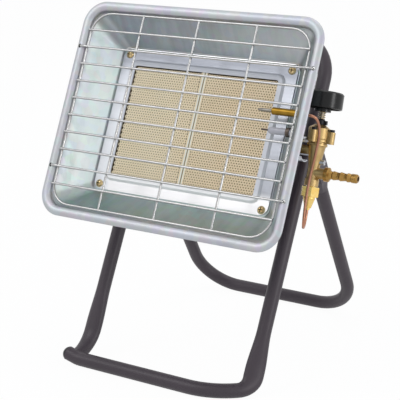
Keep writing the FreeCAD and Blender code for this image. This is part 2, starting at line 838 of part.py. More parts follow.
def burner_box():
    """Pressed gas box behind the tiles: flange, tile well, ledge and plenum."""
    plenum_x = well_half_x - plenum_inset
    plenum_z = well_half_z - plenum_inset
    flange_x = well_half_x + box_flange
    flange_z = well_half_z + box_flange
    step_y = gasket_back + sheet
    flange = slab(flange_x, flange_z, box_corner_r, flange_y, flange_y + sheet)
    well = slab(well_half_x + sheet, well_half_z + sheet, box_corner_r + sheet, flange_y, step_y)
    plenum = slab(plenum_x + sheet, plenum_z + sheet, box_corner_r, gasket_back, box_back)
    hollow = fuse([slab(well_half_x, well_half_z, box_corner_r, 0, gasket_back),
                   slab(plenum_x, plenum_z, box_corner_r - sheet, 0, plenum_back)])
    box = fuse([flange, well, plenum]).cut(hollow).cut(screw_bores(0, dish_depth * 2))
    box = box.cut(rod_x(0, rim_width, mixer_d / 2, valve_y, 0))
    return box.cut(back_screw_bores())


def back_screw_places():
    """Screws in the back of the box: two for each head bracket, two for the igniter plate."""
    middle = (bracket_low + bracket_high) / 2
    places = []
    for side in (-1, 1):
        for step in (-0.5, 0.5):
            places.append((side * bracket_screw_x, middle + step * bracket_screw_pitch, bracket_t))
    for side in (-1, 1):
        places.append((igniter_x + side * igniter_screw_half, igniter_screw_z, probe_plate_t))
    return places


def back_screw_bores():
    bores = []
    for x, z, plate in back_screw_places():
        bores.append(rod(V(x, plenum_back - sheet, z), V(x, box_back + dish_depth, z), screw_d / 2))
    return Part.makeCompound(bores)


def bracket_screws():
    """Pan screws into the back of the box."""
    screws = []
    for x, z, plate in back_screw_places():
        screw = pan_screw(plate + sheet + screw_d)
        screw.Placement = FreeCAD.Placement(V(x, box_back + plate, z), FreeCAD.Rotation(Z_AXIS, Y_AXIS))
        screws.append(screw)
    return Part.makeCompound(screws)


def head_bracket(side):
    """Bent plate from the back of the box to the inner side of a front leg."""
    to_head = head.inverse()
    face = frame_half - tube_r
    bolts = [to_head.multVec(leg_point(0, along)) for along in (pivot_up, pivot_up - bracket_bolt_drop)]
    tail = max(spot.y for spot in bolts) + bracket_tail
    foot = block(bracket_foot_x, face, box_back, box_back + bracket_t, bracket_low, bracket_high)
    arm = block(face - bracket_t, face, box_back, tail, bracket_low, bracket_high)
    plate = fuse([foot, arm])
    round_corners = [edge for edge in plate.Edges if abs(edge.CenterOfMass.y - tail) < 0.01
                     and abs(edge.tangentAt(edge.FirstParameter).x) > 0.9]
    plate = plate.makeFillet(bracket_tail, round_corners)
    for spot in bolts:
        plate = plate.cut(rod_x(0, rim_width, bolt_d / 2 + bolt_clear, spot.y, spot.z))
    stop = to_head.multVec(stop_place())
    plate = plate.cut(rod_x(0, rim_width, stop_stem_d / 2, stop.y, stop.z))
    if side < 0:
        plate = mirrored(plate)
    return plate.cut(back_screw_bores())


# Gas train

def mixing_tube():
    """Galvanised mixing tube: runs into the plenum, its outer end forked to let air in."""
    tube = rod_x(mixer_in, mixer_out, mixer_d / 2, valve_y, 0)
    tube = tube.cut(rod_x(mixer_in, mixer_out, mixer_d / 2 - mixer_wall, valve_y, 0))
    window = block(window_start, rim_width, 0, rim_width, -window_height / 2, window_height / 2)
    return tube.cut(window)


def injector_holder():
    """Disc in the fork of the mixing tube that carries the valve's outlet."""
    disc = rod_x(holder_x, holder_x + holder_t, mixer_d / 2 - mixer_wall, valve_y, 0)
    return disc.cut(rod_x(0, rim_width, outlet_d / 2 + bolt_clear, valve_y, 0))


def injector():
    """Brass jet screwed into the outlet from inside the mixing tube."""
    seat = V(holder_x, valve_y, 0)
    nut = hexagon(injector_af, injector_hex, seat, V(-1, 0, 0))
    nose_root = seat - V(injector_hex, 0, 0)
    nose = Part.makeCone(outlet_d / 2, outlet_d / 4, injector_nose, nose_root, V(-1, 0, 0))
    jet = fuse([nut, nose])
    return jet.cut(rod_x(0, rim_width, injector_orifice_d / 2, valve_y, 0))


def lug_arm(angle, z0, z1):
    """Ear for a bonnet screw."""
    post = Part.makeCylinder(lug_r, z1 - z0, V(lug_reach, 0, z0))
    web = block(0, lug_reach, -lug_r, lug_r, z0, z1)
    arm = fuse([post, web])
    arm.rotate(V(0, 0, 0), Z_AXIS, angle)
    return arm


def lug_bores(radius, z0, z1):
    bores = []
    for angle in lug_angles:
        bore = Part.makeCylinder(radius, z1 - z0, V(lug_reach, 0, z0))
        bore.rotate(V(0, 0, 0), Z_AXIS, angle)
        bores.append(bore)
    return Part.makeCompound(bores)


def plug_radius(z, clearance=0.0):
    return plug_top_r + clearance - (plug_top - z) * math.tan(math.radians(plug_taper))


def valve_body():
    """Cast brass tap body: plug seat on top, outlet to the head, inlet boss, magnet chamber below."""
    castings = [turned([(0, body_bottom)] + body_profile + [(0, body_top)])]
    castings.extend(lug_arm(angle, body_top - lug_drop, body_top) for angle in lug_angles)
    spigot = holder_x - valve_x
    shoulder = spigot + holder_t
    castings.append(rod_x(spigot, 0, outlet_d / 2))
    castings.append(rod_x(shoulder, shoulder + shoulder_t, shoulder_d / 2))
    castings.append(rod_x(0, inlet_reach, inlet_d / 2, 0, inlet_z))
    body = fuse(castings)
    seat_top = body_top + 1
    seat = Part.makeCone(plug_radius(plug_bottom - 1, plug_clear), plug_radius(seat_top, plug_clear),
                         seat_top - plug_bottom + 1, V(0, 0, plug_bottom - 1))
    rod_bore = Part.makeCylinder(rod_d / 2 + rod_clear, plug_top - chamber_top, V(0, 0, chamber_top))
    chamber = Part.makeCylinder(chamber_r, chamber_top - body_bottom, V(0, 0, body_bottom))
    outlet_bore = rod_x(spigot, 0, outlet_bore_d / 2)
    inlet_bore = rod_x(rod_d, inlet_reach, inlet_bore_d / 2, 0, inlet_z)
    thread = rod_x(inlet_reach - barb_thread_l, inlet_reach, barb_thread_r, 0, inlet_z)
    screw_seat = rod_x(flow_screw_root, flow_screw_reach, flow_screw_d / 2, 0, flow_screw_z)
    for cavity in (seat, rod_bore, chamber, outlet_bore, inlet_bore, thread, screw_seat):
        body = body.cut(cavity)
    return body.cut(lug_bores(lug_screw_d / 2, 0, body_top))


def valve_bonnet():
    """Conical brass cover over the plug, with three ears."""
    cone = turned([(0, body_top), (bonnet_r - 0.5, body_top), (bonnet_r, body_top + 0.8),
                   (bonnet_r, bonnet_shoulder), (bonnet_neck_r + 1.6, bonnet_top - 1),
                   (bonnet_neck_r, bonnet_top), (0, bonnet_top)])
    parts = [cone]
    parts.extend(lug_arm(angle, body_top, lug_top) for angle in lug_angles)
    bonnet = fuse(parts)
    hollow = turned([(0, body_top), (plug_top_r + 2.2, body_top), (plug_top_r + 2.2, bonnet_shoulder - 2),
                     (spindle_d / 2 + 1, bonnet_top - 4), (0, bonnet_top - 4)])
    bore = Part.makeCylinder(spindle_d / 2 + spindle_clear, bonnet_top, V(0, 0, body_top))
    return bonnet.cut(hollow).cut(bore).cut(lug_bores(lug_screw_d / 2 + bolt_clear, 0, bonnet_top))


def bonnet_screws():
    """Black screws, one in each ear."""
    screws = []
    for angle in lug_angles:
        low = body_top - lug_drop
        shank = Part.makeCylinder(lug_screw_d / 2, lug_top - low, V(lug_reach, 0, low))
        cap = Part.makeCylinder(lug_screw_head_d / 2, lug_screw_head_h, V(lug_reach, 0, lug_top))
        recess = V(lug_reach, 0, lug_top + lug_screw_head_h / 2)
        socket = hexagon(lug_screw_d * 0.8, lug_screw_head_h, recess, Z_AXIS)
        screw = fuse([shank, cap]).cut(socket)
        screw.rotate(V(0, 0, 0), Z_AXIS, angle)
        screws.append(screw)
    return Part.makeCompound(screws)


def spindle_collar():
    """Black gland ring on the bonnet with its stop tab."""
    top = bonnet_top + collar_h
    ring = turned([(0, bonnet_top), (collar_r, bonnet_top), (collar_r, top - 1),
                   (collar_r - 0.8, top), (0, top)])
    half_w = collar_tab_w / 2
    tab = block(0, collar_tab, -half_w, half_w, bonnet_top, bonnet_top + collar_h * 0.75)
    bore = Part.makeCylinder(spindle_d / 2 + spindle_clear, collar_h, V(0, 0, bonnet_top))
    return fuse([ring, tab]).cut(bore)


def square_bar(side, z0, z1):
    return block(-side / 2, side / 2, -side / 2, side / 2, z0, z1)


def cock_plug():
    """Tapered plug with a cross port and a square socket for the spindle."""
    height = plug_top - plug_bottom
    plug = Part.makeCone(plug_radius(plug_bottom), plug_radius(plug_top), height, V(0, 0, plug_bottom))
    port = rod_x(-bonnet_r, 0, outlet_bore_d / 2)
    socket = square_bar(drive_side + 2 * drive_clear, drive_bottom - knob_press - drive_clear, plug_top)
    bore = Part.makeCylinder(rod_d / 2 + rod_clear, height, V(0, 0, plug_bottom))
    return plug.cut(port).cut(socket).cut(bore)


def spindle():
    """Steel spindle: square drive in the plug, round neck, flat for the knob."""
    neck_bottom = plug_top + knob_press + spindle_clear
    top = knob_bottom + knob_h - knob_wall - 1
    neck = Part.makeCylinder(spindle_d / 2, top - neck_bottom, V(0, 0, neck_bottom))
    drive = square_bar(drive_side, drive_bottom, neck_bottom)
    flat = block(-spindle_d, spindle_d, spindle_d * 0.3, spindle_d, knob_bottom, top)
    return fuse([neck, drive]).cut(flat)


def push_rod():
    """Thin rod under the spindle that opens the magnet valve."""
    return Part.makeCylinder(rod_d / 2, drive_bottom - rod_bottom, V(0, 0, rod_bottom))


def spring_span():
    """Ends of the spring's wire centre line: on the collar, and in the knob's hub."""
    low = bonnet_top + collar_h + spring_wire / 2 + spring_seat
    high = knob_bottom - hub_drop + hub_recess_h - spring_wire / 2 - spring_seat
    return low, high


def return_spring():
    """Open coil that lifts the knob again."""
    low, high = spring_span()
    path = coil_path(spring_r, low, high, spring_turns)
    pitch = (high - low) / spring_turns
    lead = math.atan2(pitch, 2 * math.pi * spring_r)
    print(f"return spring: least gap between turns {pitch * math.cos(lead) - spring_wire:.2f} mm")
    return swept(path, spring_wire / 2)


def knob():
    """Black moulded knob: a cup with a hub, open below, with a pointer rib on top."""
    r = knob_d / 2
    top = knob_bottom + knob_h
    e = knob_edge
    cup = turned([(0, knob_bottom), (r - e / 2, knob_bottom), (r, knob_bottom + e / 2), (r, top - e),
                  (r - e, top), (0, top)])
    cavity = turned([(hub_r, knob_bottom), (r - knob_wall, knob_bottom),
                     (r - knob_wall - 0.5, top - knob_wall), (hub_r, top - knob_wall)])
    hub = Part.makeCylinder(hub_r, hub_drop + 1, V(0, 0, knob_bottom - hub_drop))
    shell = fuse([cup.cut(cavity), hub])
    recess = Part.makeCylinder(hub_recess_r, hub_recess_h, V(0, 0, knob_bottom - hub_drop))
    bore_h = knob_h - knob_wall - 1 + hub_drop
    bore = Part.makeCylinder(spindle_d / 2, bore_h, V(0, 0, knob_bottom - hub_drop))
    flat = block(-spindle_d, spindle_d, spindle_d * 0.3, spindle_d, knob_bottom, top)
    pointer = block(-pointer_w / 2, pointer_w / 2, -r + 2 * e, -hub_r / 2, top - e, top + pointer_h)
    return fuse([shell.cut(recess).cut(bore.cut(flat)), pointer])


def flow_screw():
    """Slotted setting screw in the side of the valve."""
    screw = rod_x(flow_screw_root, flow_screw_reach, flow_screw_d / 2, 0, flow_screw_z)
    slot = block(flow_screw_reach - flow_slot, flow_screw_reach, -flow_screw_d, flow_screw_d,
                 flow_screw_z - flow_slot / 2, flow_screw_z + flow_slot / 2)
    return screw.cut(slot)


def magnet_unit():
    """Safety magnet in the chamber under the valve."""
    bottom = body_bottom - magnet_nut_gap
    head_h = 1.6
    coil_top = magnet_top - head_h - 1.5
    plate_r = magnet_r - 0.6
    return turned([(0, bottom), (magnet_r, bottom), (magnet_r, coil_top), (1.5, coil_top),
                   (1.5, magnet_top - head_h), (plate_r, magnet_top - head_h), (plate_r, magnet_top),
                   (0, magnet_top)])


def magnet_nut():
    """Large brass hex nut that closes the chamber."""
    top = body_bottom - magnet_nut_gap
    nut = hexagon(magnet_nut_af, magnet_nut_h, V(0, 0, top), V(0, 0, -1))
    return nut.cut(Part.makeCylinder(lead_d / 2 + rod_clear, magnet_nut_h, V(0, 0, top - magnet_nut_h)))


def gland_level():
    """Upper face of the capillary's gland."""
    return body_bottom - magnet_nut_gap - magnet_nut_h


def lead_gland():
    """Cone that clamps the capillary under the nut."""
    top = gland_level()
    low = top - gland_h
    cone = turned([(0, top), (gland_top_r, top), (gland_top_r, top - 2), (gland_low_r, low),
                   (gland_tail_r, low), (gland_tail_r, low - gland_tail_h), (0, low - gland_tail_h)])
    return cone.cut(Part.makeCylinder(lead_d / 2, gland_h + gland_tail_h, V(0, 0, low - gland_tail_h)))


def hose_barb():
    """Turned brass hose nipple with saw-tooth ridges and a plain land at its tip."""
    root = inlet_reach
    tip = root + barb_length
    collar_end = root + barb_collar_t
    profile = [(0, root - barb_thread_l), (barb_thread_r, root - barb_thread_l), (barb_thread_r, root),
               (barb_collar_r, root), (barb_collar_r, collar_end), (barb_r, collar_end + 1.5)]
    for k in range(barb_ridges):
        crest = root + barb_first_ridge + k * barb_ridge_pitch
        profile.extend([(barb_valley_r, crest - 1.5), (barb_r, crest - 0.4), (barb_r, crest),
                        (barb_valley_r, crest + barb_ridge_pitch * 0.55)])
    land = tip - barb_nose - barb_land
    profile.extend([(barb_valley_r, land - 0.8), (barb_r, land), (barb_r, tip - barb_nose),
                    (barb_r - barb_nose * 0.7, tip), (0, tip)])
    nipple = turned(profile, X_AXIS)
    bore = rod_x(root - barb_thread_l, tip, barb_bore_d / 2)
    nipple = nipple.cut(bore)
    nipple.translate(V(0, 0, inlet_z))
    return nipple


# Probes

def probes():
    """Thermocouple and spark electrode on their plate behind the dish wall."""
    tip_r = couple_tip_d / 2
    tip = turned([(0, couple_tip_x), (tip_r / 2, couple_tip_x), (tip_r, couple_tip_x + 4),
                  (tip_r, couple_neck_x), (0, couple_neck_x)], X_AXIS)
    sleeve = turned([(0, couple_neck_x), (couple_sleeve_d / 2 - 1, couple_neck_x),
                     (couple_sleeve_d / 2, couple_neck_x + 1), (couple_sleeve_d / 2, probe_back_x),
                     (0, probe_back_x)], X_AXIS)
    wire = rod_x(spark_tip_x, spark_nose_x, spark_wire_d / 2)
    nose = turned([(0, spark_nose_x), (spark_d / 2 - 1.2, spark_nose_x), (spark_d / 2, spark_nose_x + 2),
                   (spark_d / 2, probe_back_x), (0, probe_back_x)], X_AXIS)
    collar_end = spark_collar_x + spark_collar_w
    collar = turned([(spark_d / 2, spark_collar_x), (spark_collar_d / 2, spark_collar_x),
                     (spark_collar_d / 2, collar_end), (spark_d / 2, collar_end)], X_AXIS)
    for name, shape, z in (("thermocouple_tip", tip, couple_z), ("thermocouple_sleeve", sleeve, couple_z),
                           ("electrode_wire", wire, spark_z), ("electrode_insulator", nose, spark_z),
                           ("electrode_collar", collar, spark_z)):
        shape.translate(V(0, probe_y, z))
        save(name, shape, head)
    plate_end = probe_plate_x + probe_plate_t
    front = probe_y - probe_plate_margin
    back = probe_y + probe_plate_margin
    low = spark_z - 2 * probe_plate_margin
    high = couple_z + 2 * probe_plate_margin
    upright = block(probe_plate_x, plate_end, front, back, low, high)
    foot = block(floor_width / 2, plate_end, back, back + probe_plate_t, low, high)
    plate = fuse([upright, foot]).cut(dish_outside())
    nuts = []
    for z, diameter in ((couple_z, couple_sleeve_d), (spark_z, spark_d)):
        bore = rod_x(0, rim_width, diameter / 2, probe_y, z)
        plate = plate.cut(rod_x(0, rim_width, diameter / 2 + hole_clear, probe_y, z))
        nuts.append(hexagon(probe_nut_af, probe_nut_h, V(plate_end, probe_y, z), X_AXIS).cut(bore))
    save("probe_bracket", plate, head)
    save("probe_nuts", Part.makeCompound(nuts), head)


def thermocouple_lead():
    """Copper capillary: out of the sleeve, down in front of the valve and up into the gland."""
    gland_mouth = valve_in_head.multVec(V(0, 0, gland_level() - gland_h / 2))
    below = valve_in_head.multVec(V(0, 0, gland_level() - gland_h - gland_tail_h - lead_sag))
    points = [V(probe_back_x, probe_y, couple_z)] + [V(rim_x + x, y, z) for x, y, z in lead_route]
    points.extend([V(points[-1].x, below.y - lead_loop, below.z), below, gland_mouth])
    path = bent_path(points, lead_bends)
    lead = swept(path, lead_d / 2)
    print(f"thermocouple lead: {path.Length:.1f} mm, volume over section times length "
          f"{lead.Volume / (path.Length * math.pi * lead_d ** 2 / 4):.4f}")
    return lead


# Igniter

def igniter():
    """Push-button spark generator on a plate under the burner box."""
    plate_y = box_back
    half = igniter_plate_w / 2
    plate = block(igniter_x - half, igniter_x + half, plate_y, plate_y + probe_plate_t,
                  igniter_z - half, igniter_plate_top)
    lower = [edge for edge in plate.Edges
             if abs(edge.CenterOfMass.z - igniter_z + half) < 0.01
             and abs(edge.tangentAt(edge.FirstParameter).y) > 0.9]
    plate = plate.makeFillet(half - 2, lower)
    centre = V(igniter_x, 0, igniter_z)
    back = V(0, 1, 0)
    neck_bore = rod(centre, centre + back * (plate_y * 2), igniter_neck_d / 2 + hole_clear)
    save("piezo_bracket", plate.cut(neck_bore).cut(back_screw_bores()), head)
    front = centre + back * (plate_y - igniter_length)
    seat = centre + back * plate_y
    neck_end = seat + back * igniter_neck_l
    case = rod(front, seat, igniter_d / 2)
    neck = rod(seat, neck_end, igniter_neck_d / 2)
    terminal = rod(front - back * terminal_l, front, terminal_d / 2)
    body = fuse([case, neck, terminal])
    well = rod(neck_end - back * (button_length - button_out + button_press + button_clear), neck_end,
               button_d / 2 + button_clear)
    save("piezo_igniter", body.cut(well), head)
    nut_seat = seat + back * probe_plate_t
    nut = hexagon(igniter_nut_af, igniter_nut_h, nut_seat, back)
    save("piezo_nut", nut.cut(rod(centre, centre + back * (plate_y * 2), igniter_neck_d / 2)), head)
    button_root = neck_end + back * (button_out - button_length)
    r = button_d / 2
    shape = turned([(0, 0), (r, 0), (r, button_length - button_edge), (r - button_edge, button_length),
                    (0, button_length)])
    shape.Placement = FreeCAD.Placement(button_root, FreeCAD.Rotation(Z_AXIS, back))
    save("piezo_button", shape, head)


def main():
    os.makedirs("parts", exist_ok=True)
    save("front_frame", front_frame())
    save("foot_cap", foot_cap())
    save("rear_leg", rear_leg())
    stand_fasteners()
    save("reflector", reflector(), head)
    guard()
    save("burner_frame", burner_frame(), head)
    burner_fasteners()
    tiles()
    save("burner_box", burner_box(), head)
    save("bracket_screws", bracket_screws(), head)
    save("head_bracket_left", head_bracket(-1), head)
    save("head_bracket_right", head_bracket(1), head)
    save("mixing_tube", mixing_tube(), head)
    save("injector_holder", injector_holder(), head)
    save("injector", injector(), head)
    save("valve_body", valve_body(), valve)
    save("valve_bonnet", valve_bonnet(), valve)
    save("bonnet_screws", bonnet_screws(), valve)
    save("spindle_collar", spindle_collar(), valve)
    save("cock_plug", cock_plug(), valve)
    save("spindle", spindle(), valve)
    save("push_rod", push_rod(), valve)
    save("return_spring", return_spring(), valve)
    save("knob", knob(), valve)
    save("flow_screw", flow_screw(), valve)
    save("magnet_unit", magnet_unit(), valve)
    save("magnet_nut", magnet_nut(), valve)
    save("lead_gland", lead_gland(), valve)
    save("hose_barb", hose_barb(), valve)
    probes()
    save("thermocouple_lead", thermocouple_lead(), head)
    igniter()


main()
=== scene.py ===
# %% [markdown]
# # A parabolic gas heater
# The frame holds each piece where it belongs, with its joints. This lesson gives the pieces their real
# surfaces, and remakes those whose detail is finer than a solid: the creased feet, the perforated tiles,
# the welded guard, the small spring and the bent copper lead. Most lengths below are in millimetres of the
# head's own axes (x across, y back into the dish, z up along it) until a matrix puts them in the frame's
# metres.

# %% Load the frame
import json
import math
import bpy
import bmesh
from mathutils import Matrix, Vector

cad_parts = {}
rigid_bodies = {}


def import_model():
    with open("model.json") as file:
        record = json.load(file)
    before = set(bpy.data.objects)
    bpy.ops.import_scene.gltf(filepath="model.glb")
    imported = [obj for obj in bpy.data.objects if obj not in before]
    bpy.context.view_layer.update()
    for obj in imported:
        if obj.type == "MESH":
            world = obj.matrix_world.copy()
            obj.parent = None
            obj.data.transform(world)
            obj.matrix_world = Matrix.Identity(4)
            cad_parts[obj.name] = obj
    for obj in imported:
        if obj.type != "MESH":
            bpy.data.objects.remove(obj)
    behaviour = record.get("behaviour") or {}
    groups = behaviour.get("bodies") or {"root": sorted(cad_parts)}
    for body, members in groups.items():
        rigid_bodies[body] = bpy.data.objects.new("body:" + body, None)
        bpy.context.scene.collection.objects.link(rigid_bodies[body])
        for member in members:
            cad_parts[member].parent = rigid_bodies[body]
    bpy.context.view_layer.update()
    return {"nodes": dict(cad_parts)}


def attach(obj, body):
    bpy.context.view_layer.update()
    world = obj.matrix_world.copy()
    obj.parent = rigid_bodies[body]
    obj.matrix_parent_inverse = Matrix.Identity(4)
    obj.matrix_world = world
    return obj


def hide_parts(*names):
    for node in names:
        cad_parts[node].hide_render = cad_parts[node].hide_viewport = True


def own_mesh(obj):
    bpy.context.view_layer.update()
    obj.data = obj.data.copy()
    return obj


for leftover in list(bpy.data.objects):
    bpy.data.objects.remove(leftover)
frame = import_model()
nodes = frame["nodes"]

# %% [markdown]
# ## Two places to work from
# The dish leans back, and the gas tap stands a little straighter than the dish. Two matrices turn
# millimetres measured on the head, or along the tap's spindle, into metres of the frame. Working in
# the piece's own axes keeps every number a real dimension of the heater.

# %% Head and tap axes
MM = 0.001
head_place = Vector((-19.2, -103.5, 289.1))
head_tilt = math.radians(-25.6)
tap_place = (136.5, 70.3, 0)
tap_turn = math.radians(8.6)
HEAD = Matrix.Translation(head_place * MM) @ Matrix.Rotation(head_tilt, 4, "X") @ Matrix.Scale(MM, 4)
TAP = HEAD @ Matrix.Translation(tap_place) @ Matrix.Rotation(tap_turn, 4, "X")

# %% [markdown]
# ## Colours and nodes
# Colours are written as they look on a screen, in sRGB hex, and a shader wants linear light, so one
# function converts them. Another adds any node with its settings and links, which keeps each material
# below short enough to read as a recipe.

# %% Colour and node


def linear(code):
    """Linear colour of an sRGB hex code."""
    channels = [int(code[k:k + 2], 16) / 255 for k in (1, 3, 5)]
    return tuple(c / 12.92 if c <= 0.04045 else ((c + 0.055) / 1.055) ** 2.4 for c in channels) + (1.0,)


def add(tree, kind, inputs=None, **settings):
    """A node with its settings; inputs holds values, hex colours or sockets to link, by name or number."""
    made = tree.nodes.new(kind)
    for name, value in settings.items():
        setattr(made, name, value)
    for name, value in (inputs or {}).items():
        if isinstance(value, bpy.types.NodeSocket):
            tree.links.new(value, made.inputs[name])
        else:
            made.inputs[name].default_value = linear(value) if isinstance(value, str) else value
    return made


print("dark enamel in linear light", [round(v, 3) for v in linear("#3E343D")])

# %% [markdown]
# ## Where a pattern lies
# A material reads Object coordinates, so its pattern stays on the piece when the piece moves. Turned into
# millimetres, a pattern's scale is one over its real size. Some finishes depend on the place on the dish,
# and for those a Mapping node turns the coordinates into the head's axes.

# %% Starting a material


def start_material(name, roughness, metallic=0.0):
    """A Principled material, its tree and its shader."""
    material = bpy.data.materials.new(name)
    material.use_nodes = True
    shader = material.node_tree.nodes["Principled BSDF"]
    shader.inputs["Roughness"].default_value = roughness
    shader.inputs["Metallic"].default_value = metallic
    return material, material.node_tree, shader


def in_mm(tree):
    """Object coordinates in millimetres."""
    place = add(tree, "ShaderNodeTexCoord").outputs["Object"]
    return add(tree, "ShaderNodeMapping", {"Vector": place, "Scale": (1000, 1000, 1000)}).outputs["Vector"]


def on_head(tree):
    """Object coordinates turned into the head's axes, in millimetres."""
    back = HEAD.inverted()
    place = add(tree, "ShaderNodeTexCoord").outputs["Object"]
    turned = {"Vector": place, "Scale": (1000, 1000, 1000), "Rotation": back.to_euler(),
              "Location": back.translation}
    return add(tree, "ShaderNodeMapping", turned).outputs["Vector"]


print("the head's middle lies at", [round(v, 4) for v in HEAD.translation], "m")

# %% [markdown]
# ## Galvanised sheet
# The dish is pressed from hot-dip galvanised sheet. Zinc grows flat crystals, so the surface breaks into
# faint patches, and rolling and pressing leave long smears. A picture of zinc would show its edges at every
# fold, so the pattern is worked out at each point: Voronoi cells of about 8 mm give the crystals, and a
# noise that is drawn out up and down the dish gives the smears.

# %% Dish sheet: crystals and smears
galvanised, tree, shader = start_material("galvanised_sheet", 0.34, 1.0)
mm = in_mm(tree)
spot = on_head(tree)
axes = add(tree, "ShaderNodeSeparateXYZ", {0: spot}).outputs
crystal = add(tree, "ShaderNodeTexVoronoi", {"Vector": mm, "Scale": 1 / 8}).outputs["Color"]
stretch = (1 / 7, 1 / 70, 1 / 70)
along = add(tree, "ShaderNodeVectorMath", {0: spot, 1: stretch}, operation="MULTIPLY").outputs[0]
smear = add(tree, "ShaderNodeTexNoise", {"Vector": along, "Scale": 1.0, "Detail": 3}).outputs["Fac"]
patch = add(tree, "ShaderNodeTexNoise", {"Vector": mm, "Scale": 1 / 60, "Detail": 2}).outputs["Fac"]
print(galvanised.name, "has smears of", [round(1 / s) for s in stretch], "mm")

# %% [markdown]
# ## A painted reflection for each wall
# Each wall has its own tone, a painted reflection: the bottom one dull and greenish, the top one bluish and
# streaky, and the sides between. They meet on slanting lines at the corners, where the distances across and
# up from the middle differ by 28 mm, so a ramp across such a line tells one wall from the next.

# %% Dish sheet: painted reflection tones of the walls
corner_line = 28.0
sheet_and_painted_reflection_greys = (
    ("rim", patch, "#AFB1B8", "#C3C5CA"),
    ("side", smear, "#A9B3B5", "#C6CFCF"),
    ("top", smear, "#A2A8B1", "#CCD3D9"),
    ("low", smear, "#93A3A3", "#B7C6C5"),
)
tones = {}
for wall, noise, dark, pale in sheet_and_painted_reflection_greys:
    tones[wall] = add(tree, "ShaderNodeMix", {0: noise, 6: dark, 7: pale}, data_type="RGBA").outputs[2]
across = add(tree, "ShaderNodeMath", {0: axes["X"]}, operation="ABSOLUTE").outputs[0]
beside = add(tree, "ShaderNodeMath", {0: across, 1: corner_line}, operation="SUBTRACT").outputs[0]
over = add(tree, "ShaderNodeMath", {0: axes["Z"], 1: beside}, operation="SUBTRACT").outputs[0]
under = add(tree, "ShaderNodeMath", {0: axes["Z"], 1: beside}, operation="ADD").outputs[0]
top = add(tree, "ShaderNodeMapRange", {"Value": over, "From Min": -3.0, "From Max": 3.0}).outputs[0]
low = add(tree, "ShaderNodeMapRange", {"Value": under, "From Min": 3.0, "From Max": -3.0}).outputs[0]
# The side, top and bottom tones are painted reflection, mixed in by place on the dish.
walls_with_painted_light = add(tree, "ShaderNodeMix", {0: top, 6: tones["side"], 7: tones["top"]}, data_type="RGBA").outputs[2]
walls_with_painted_light = add(tree, "ShaderNodeMix", {0: low, 6: walls_with_painted_light, 7: tones["low"]}, data_type="RGBA").outputs[2]
print("tones for", ", ".join(tones))

# %% [markdown]
# ## Painted shade and light at the dish's folds
# The crease where the top wall meets the sides, and a line at the foot of each side wall, are painted
# shade.
# The top wall has a painted highlight at its foot and a painted shadow in the gap between it and the
# burner's frame, and is painted paler to the right. Each mark is a ramp, or a product of ramps that say
# where on the dish it is.

# %% Dish sheet: painted shade and light on the walls
apart = add(tree, "ShaderNodeMath", {0: over}, operation="ABSOLUTE").outputs[0]
level = add(tree, "ShaderNodeMath", {0: top, 1: low}, operation="ADD").outputs[0]
# Each row has a name, what the ramp runs along, where it starts and ends, and its share there.
painted_light_slopes = (
    ("crease", apart, 9.0, 2.0, 0.0, 0.6),
    ("foot", axes["Y"], 37.7, 38.6, 0.0, 1.0),
    ("sides", level, 0.0, 1.0, 0.65, 0.0),
    ("to right", axes["X"], 0.0, 110.0, 0.0, 0.55),
    ("fold", axes["Y"], 38.1, 38.5, 0.0, 1.0),
    ("stronger", axes["X"], -110.0, 110.0, 0.6, 1.0),
    ("floor", axes["Y"], 39.5, 39.8, 0.0, 1.0),
    ("gap", axes["Z"], 83.7, 83.3, 0.0, 1.0),
)
ramps = {"top": top}
for name, value, start, end, at_start, at_end in painted_light_slopes:
    ramps[name] = add(tree, "ShaderNodeMapRange", {"Value": value, "From Min": start, "From Max": end,
                                                   "To Min": at_start, "To Max": at_end}).outputs[0]
# Painted shade: the crease, the foot of the sides and the gap. Painted light: paler to the right, and the
# fold.
painted_light_marks = {"#7F848A": ["crease"], "#5F646B": ["foot", "sides"], "#E6EAEE": ["to right", "top"],
         "#FAFBFB": ["fold", "stronger", "top"], "#34373C": ["gap", "floor", "top"]}
for color, names in painted_light_marks.items():
    mark = ramps[names[0]]
    for name in names[1:]:
        mark = add(tree, "ShaderNodeMath", {0: mark, 1: ramps[name]}, operation="MULTIPLY").outputs[0]
    walls_with_painted_light = add(tree, "ShaderNodeMix", {0: mark, 6: walls_with_painted_light, 7: color}, data_type="RGBA").outputs[2]
    print("mark", " x ".join(names), color)

# %% [markdown]
# ## Rim, hook holes and gloss
# The rolled rim keeps the sheet's own tone. The guard hooks into four small holes in it, painted dark as
# shade.
# The holes lie alike in all four quarters, so the absolute value of the place folds them into one.
# Smears are duller than the bare sheet, so they drive the roughness too, and slow waves give it a bump.

# %% Dish sheet: rim and gloss


def near_in_quarters(tree, spot, place, radius):
    """1 within a radius of a place that all four quarters of the head have, seen from the front."""
    quarter = add(tree, "ShaderNodeVectorMath", {0: spot}, operation="ABSOLUTE").outputs[0]
    offset = add(tree, "ShaderNodeVectorMath", {0: quarter, 1: place}, operation="SUBTRACT").outputs[0]
    flat = add(tree, "ShaderNodeVectorMath", {0: offset, 1: (1, 0, 1)}, operation="MULTIPLY").outputs[0]
    distance = add(tree, "ShaderNodeVectorMath", {0: flat}, operation="LENGTH").outputs["Value"]
    return add(tree, "ShaderNodeMath", {0: distance, 1: radius}, operation="LESS_THAN").outputs[0]


hook_place = (145.3, 0, 70.0)
hook_hole_r = 2.3
deep = add(tree, "ShaderNodeMapRange", {"Value": axes["Y"], "From Min": 3.5, "From Max": 8.0}).outputs[0]
sheet = add(tree, "ShaderNodeMix", {0: deep, 6: tones["rim"], 7: walls_with_painted_light}, data_type="RGBA").outputs[2]
grain = add(tree, "ShaderNodeMix", {0: 0.10, 6: sheet, 7: crystal}, data_type="RGBA",
            blend_type="SOFT_LIGHT").outputs[2]
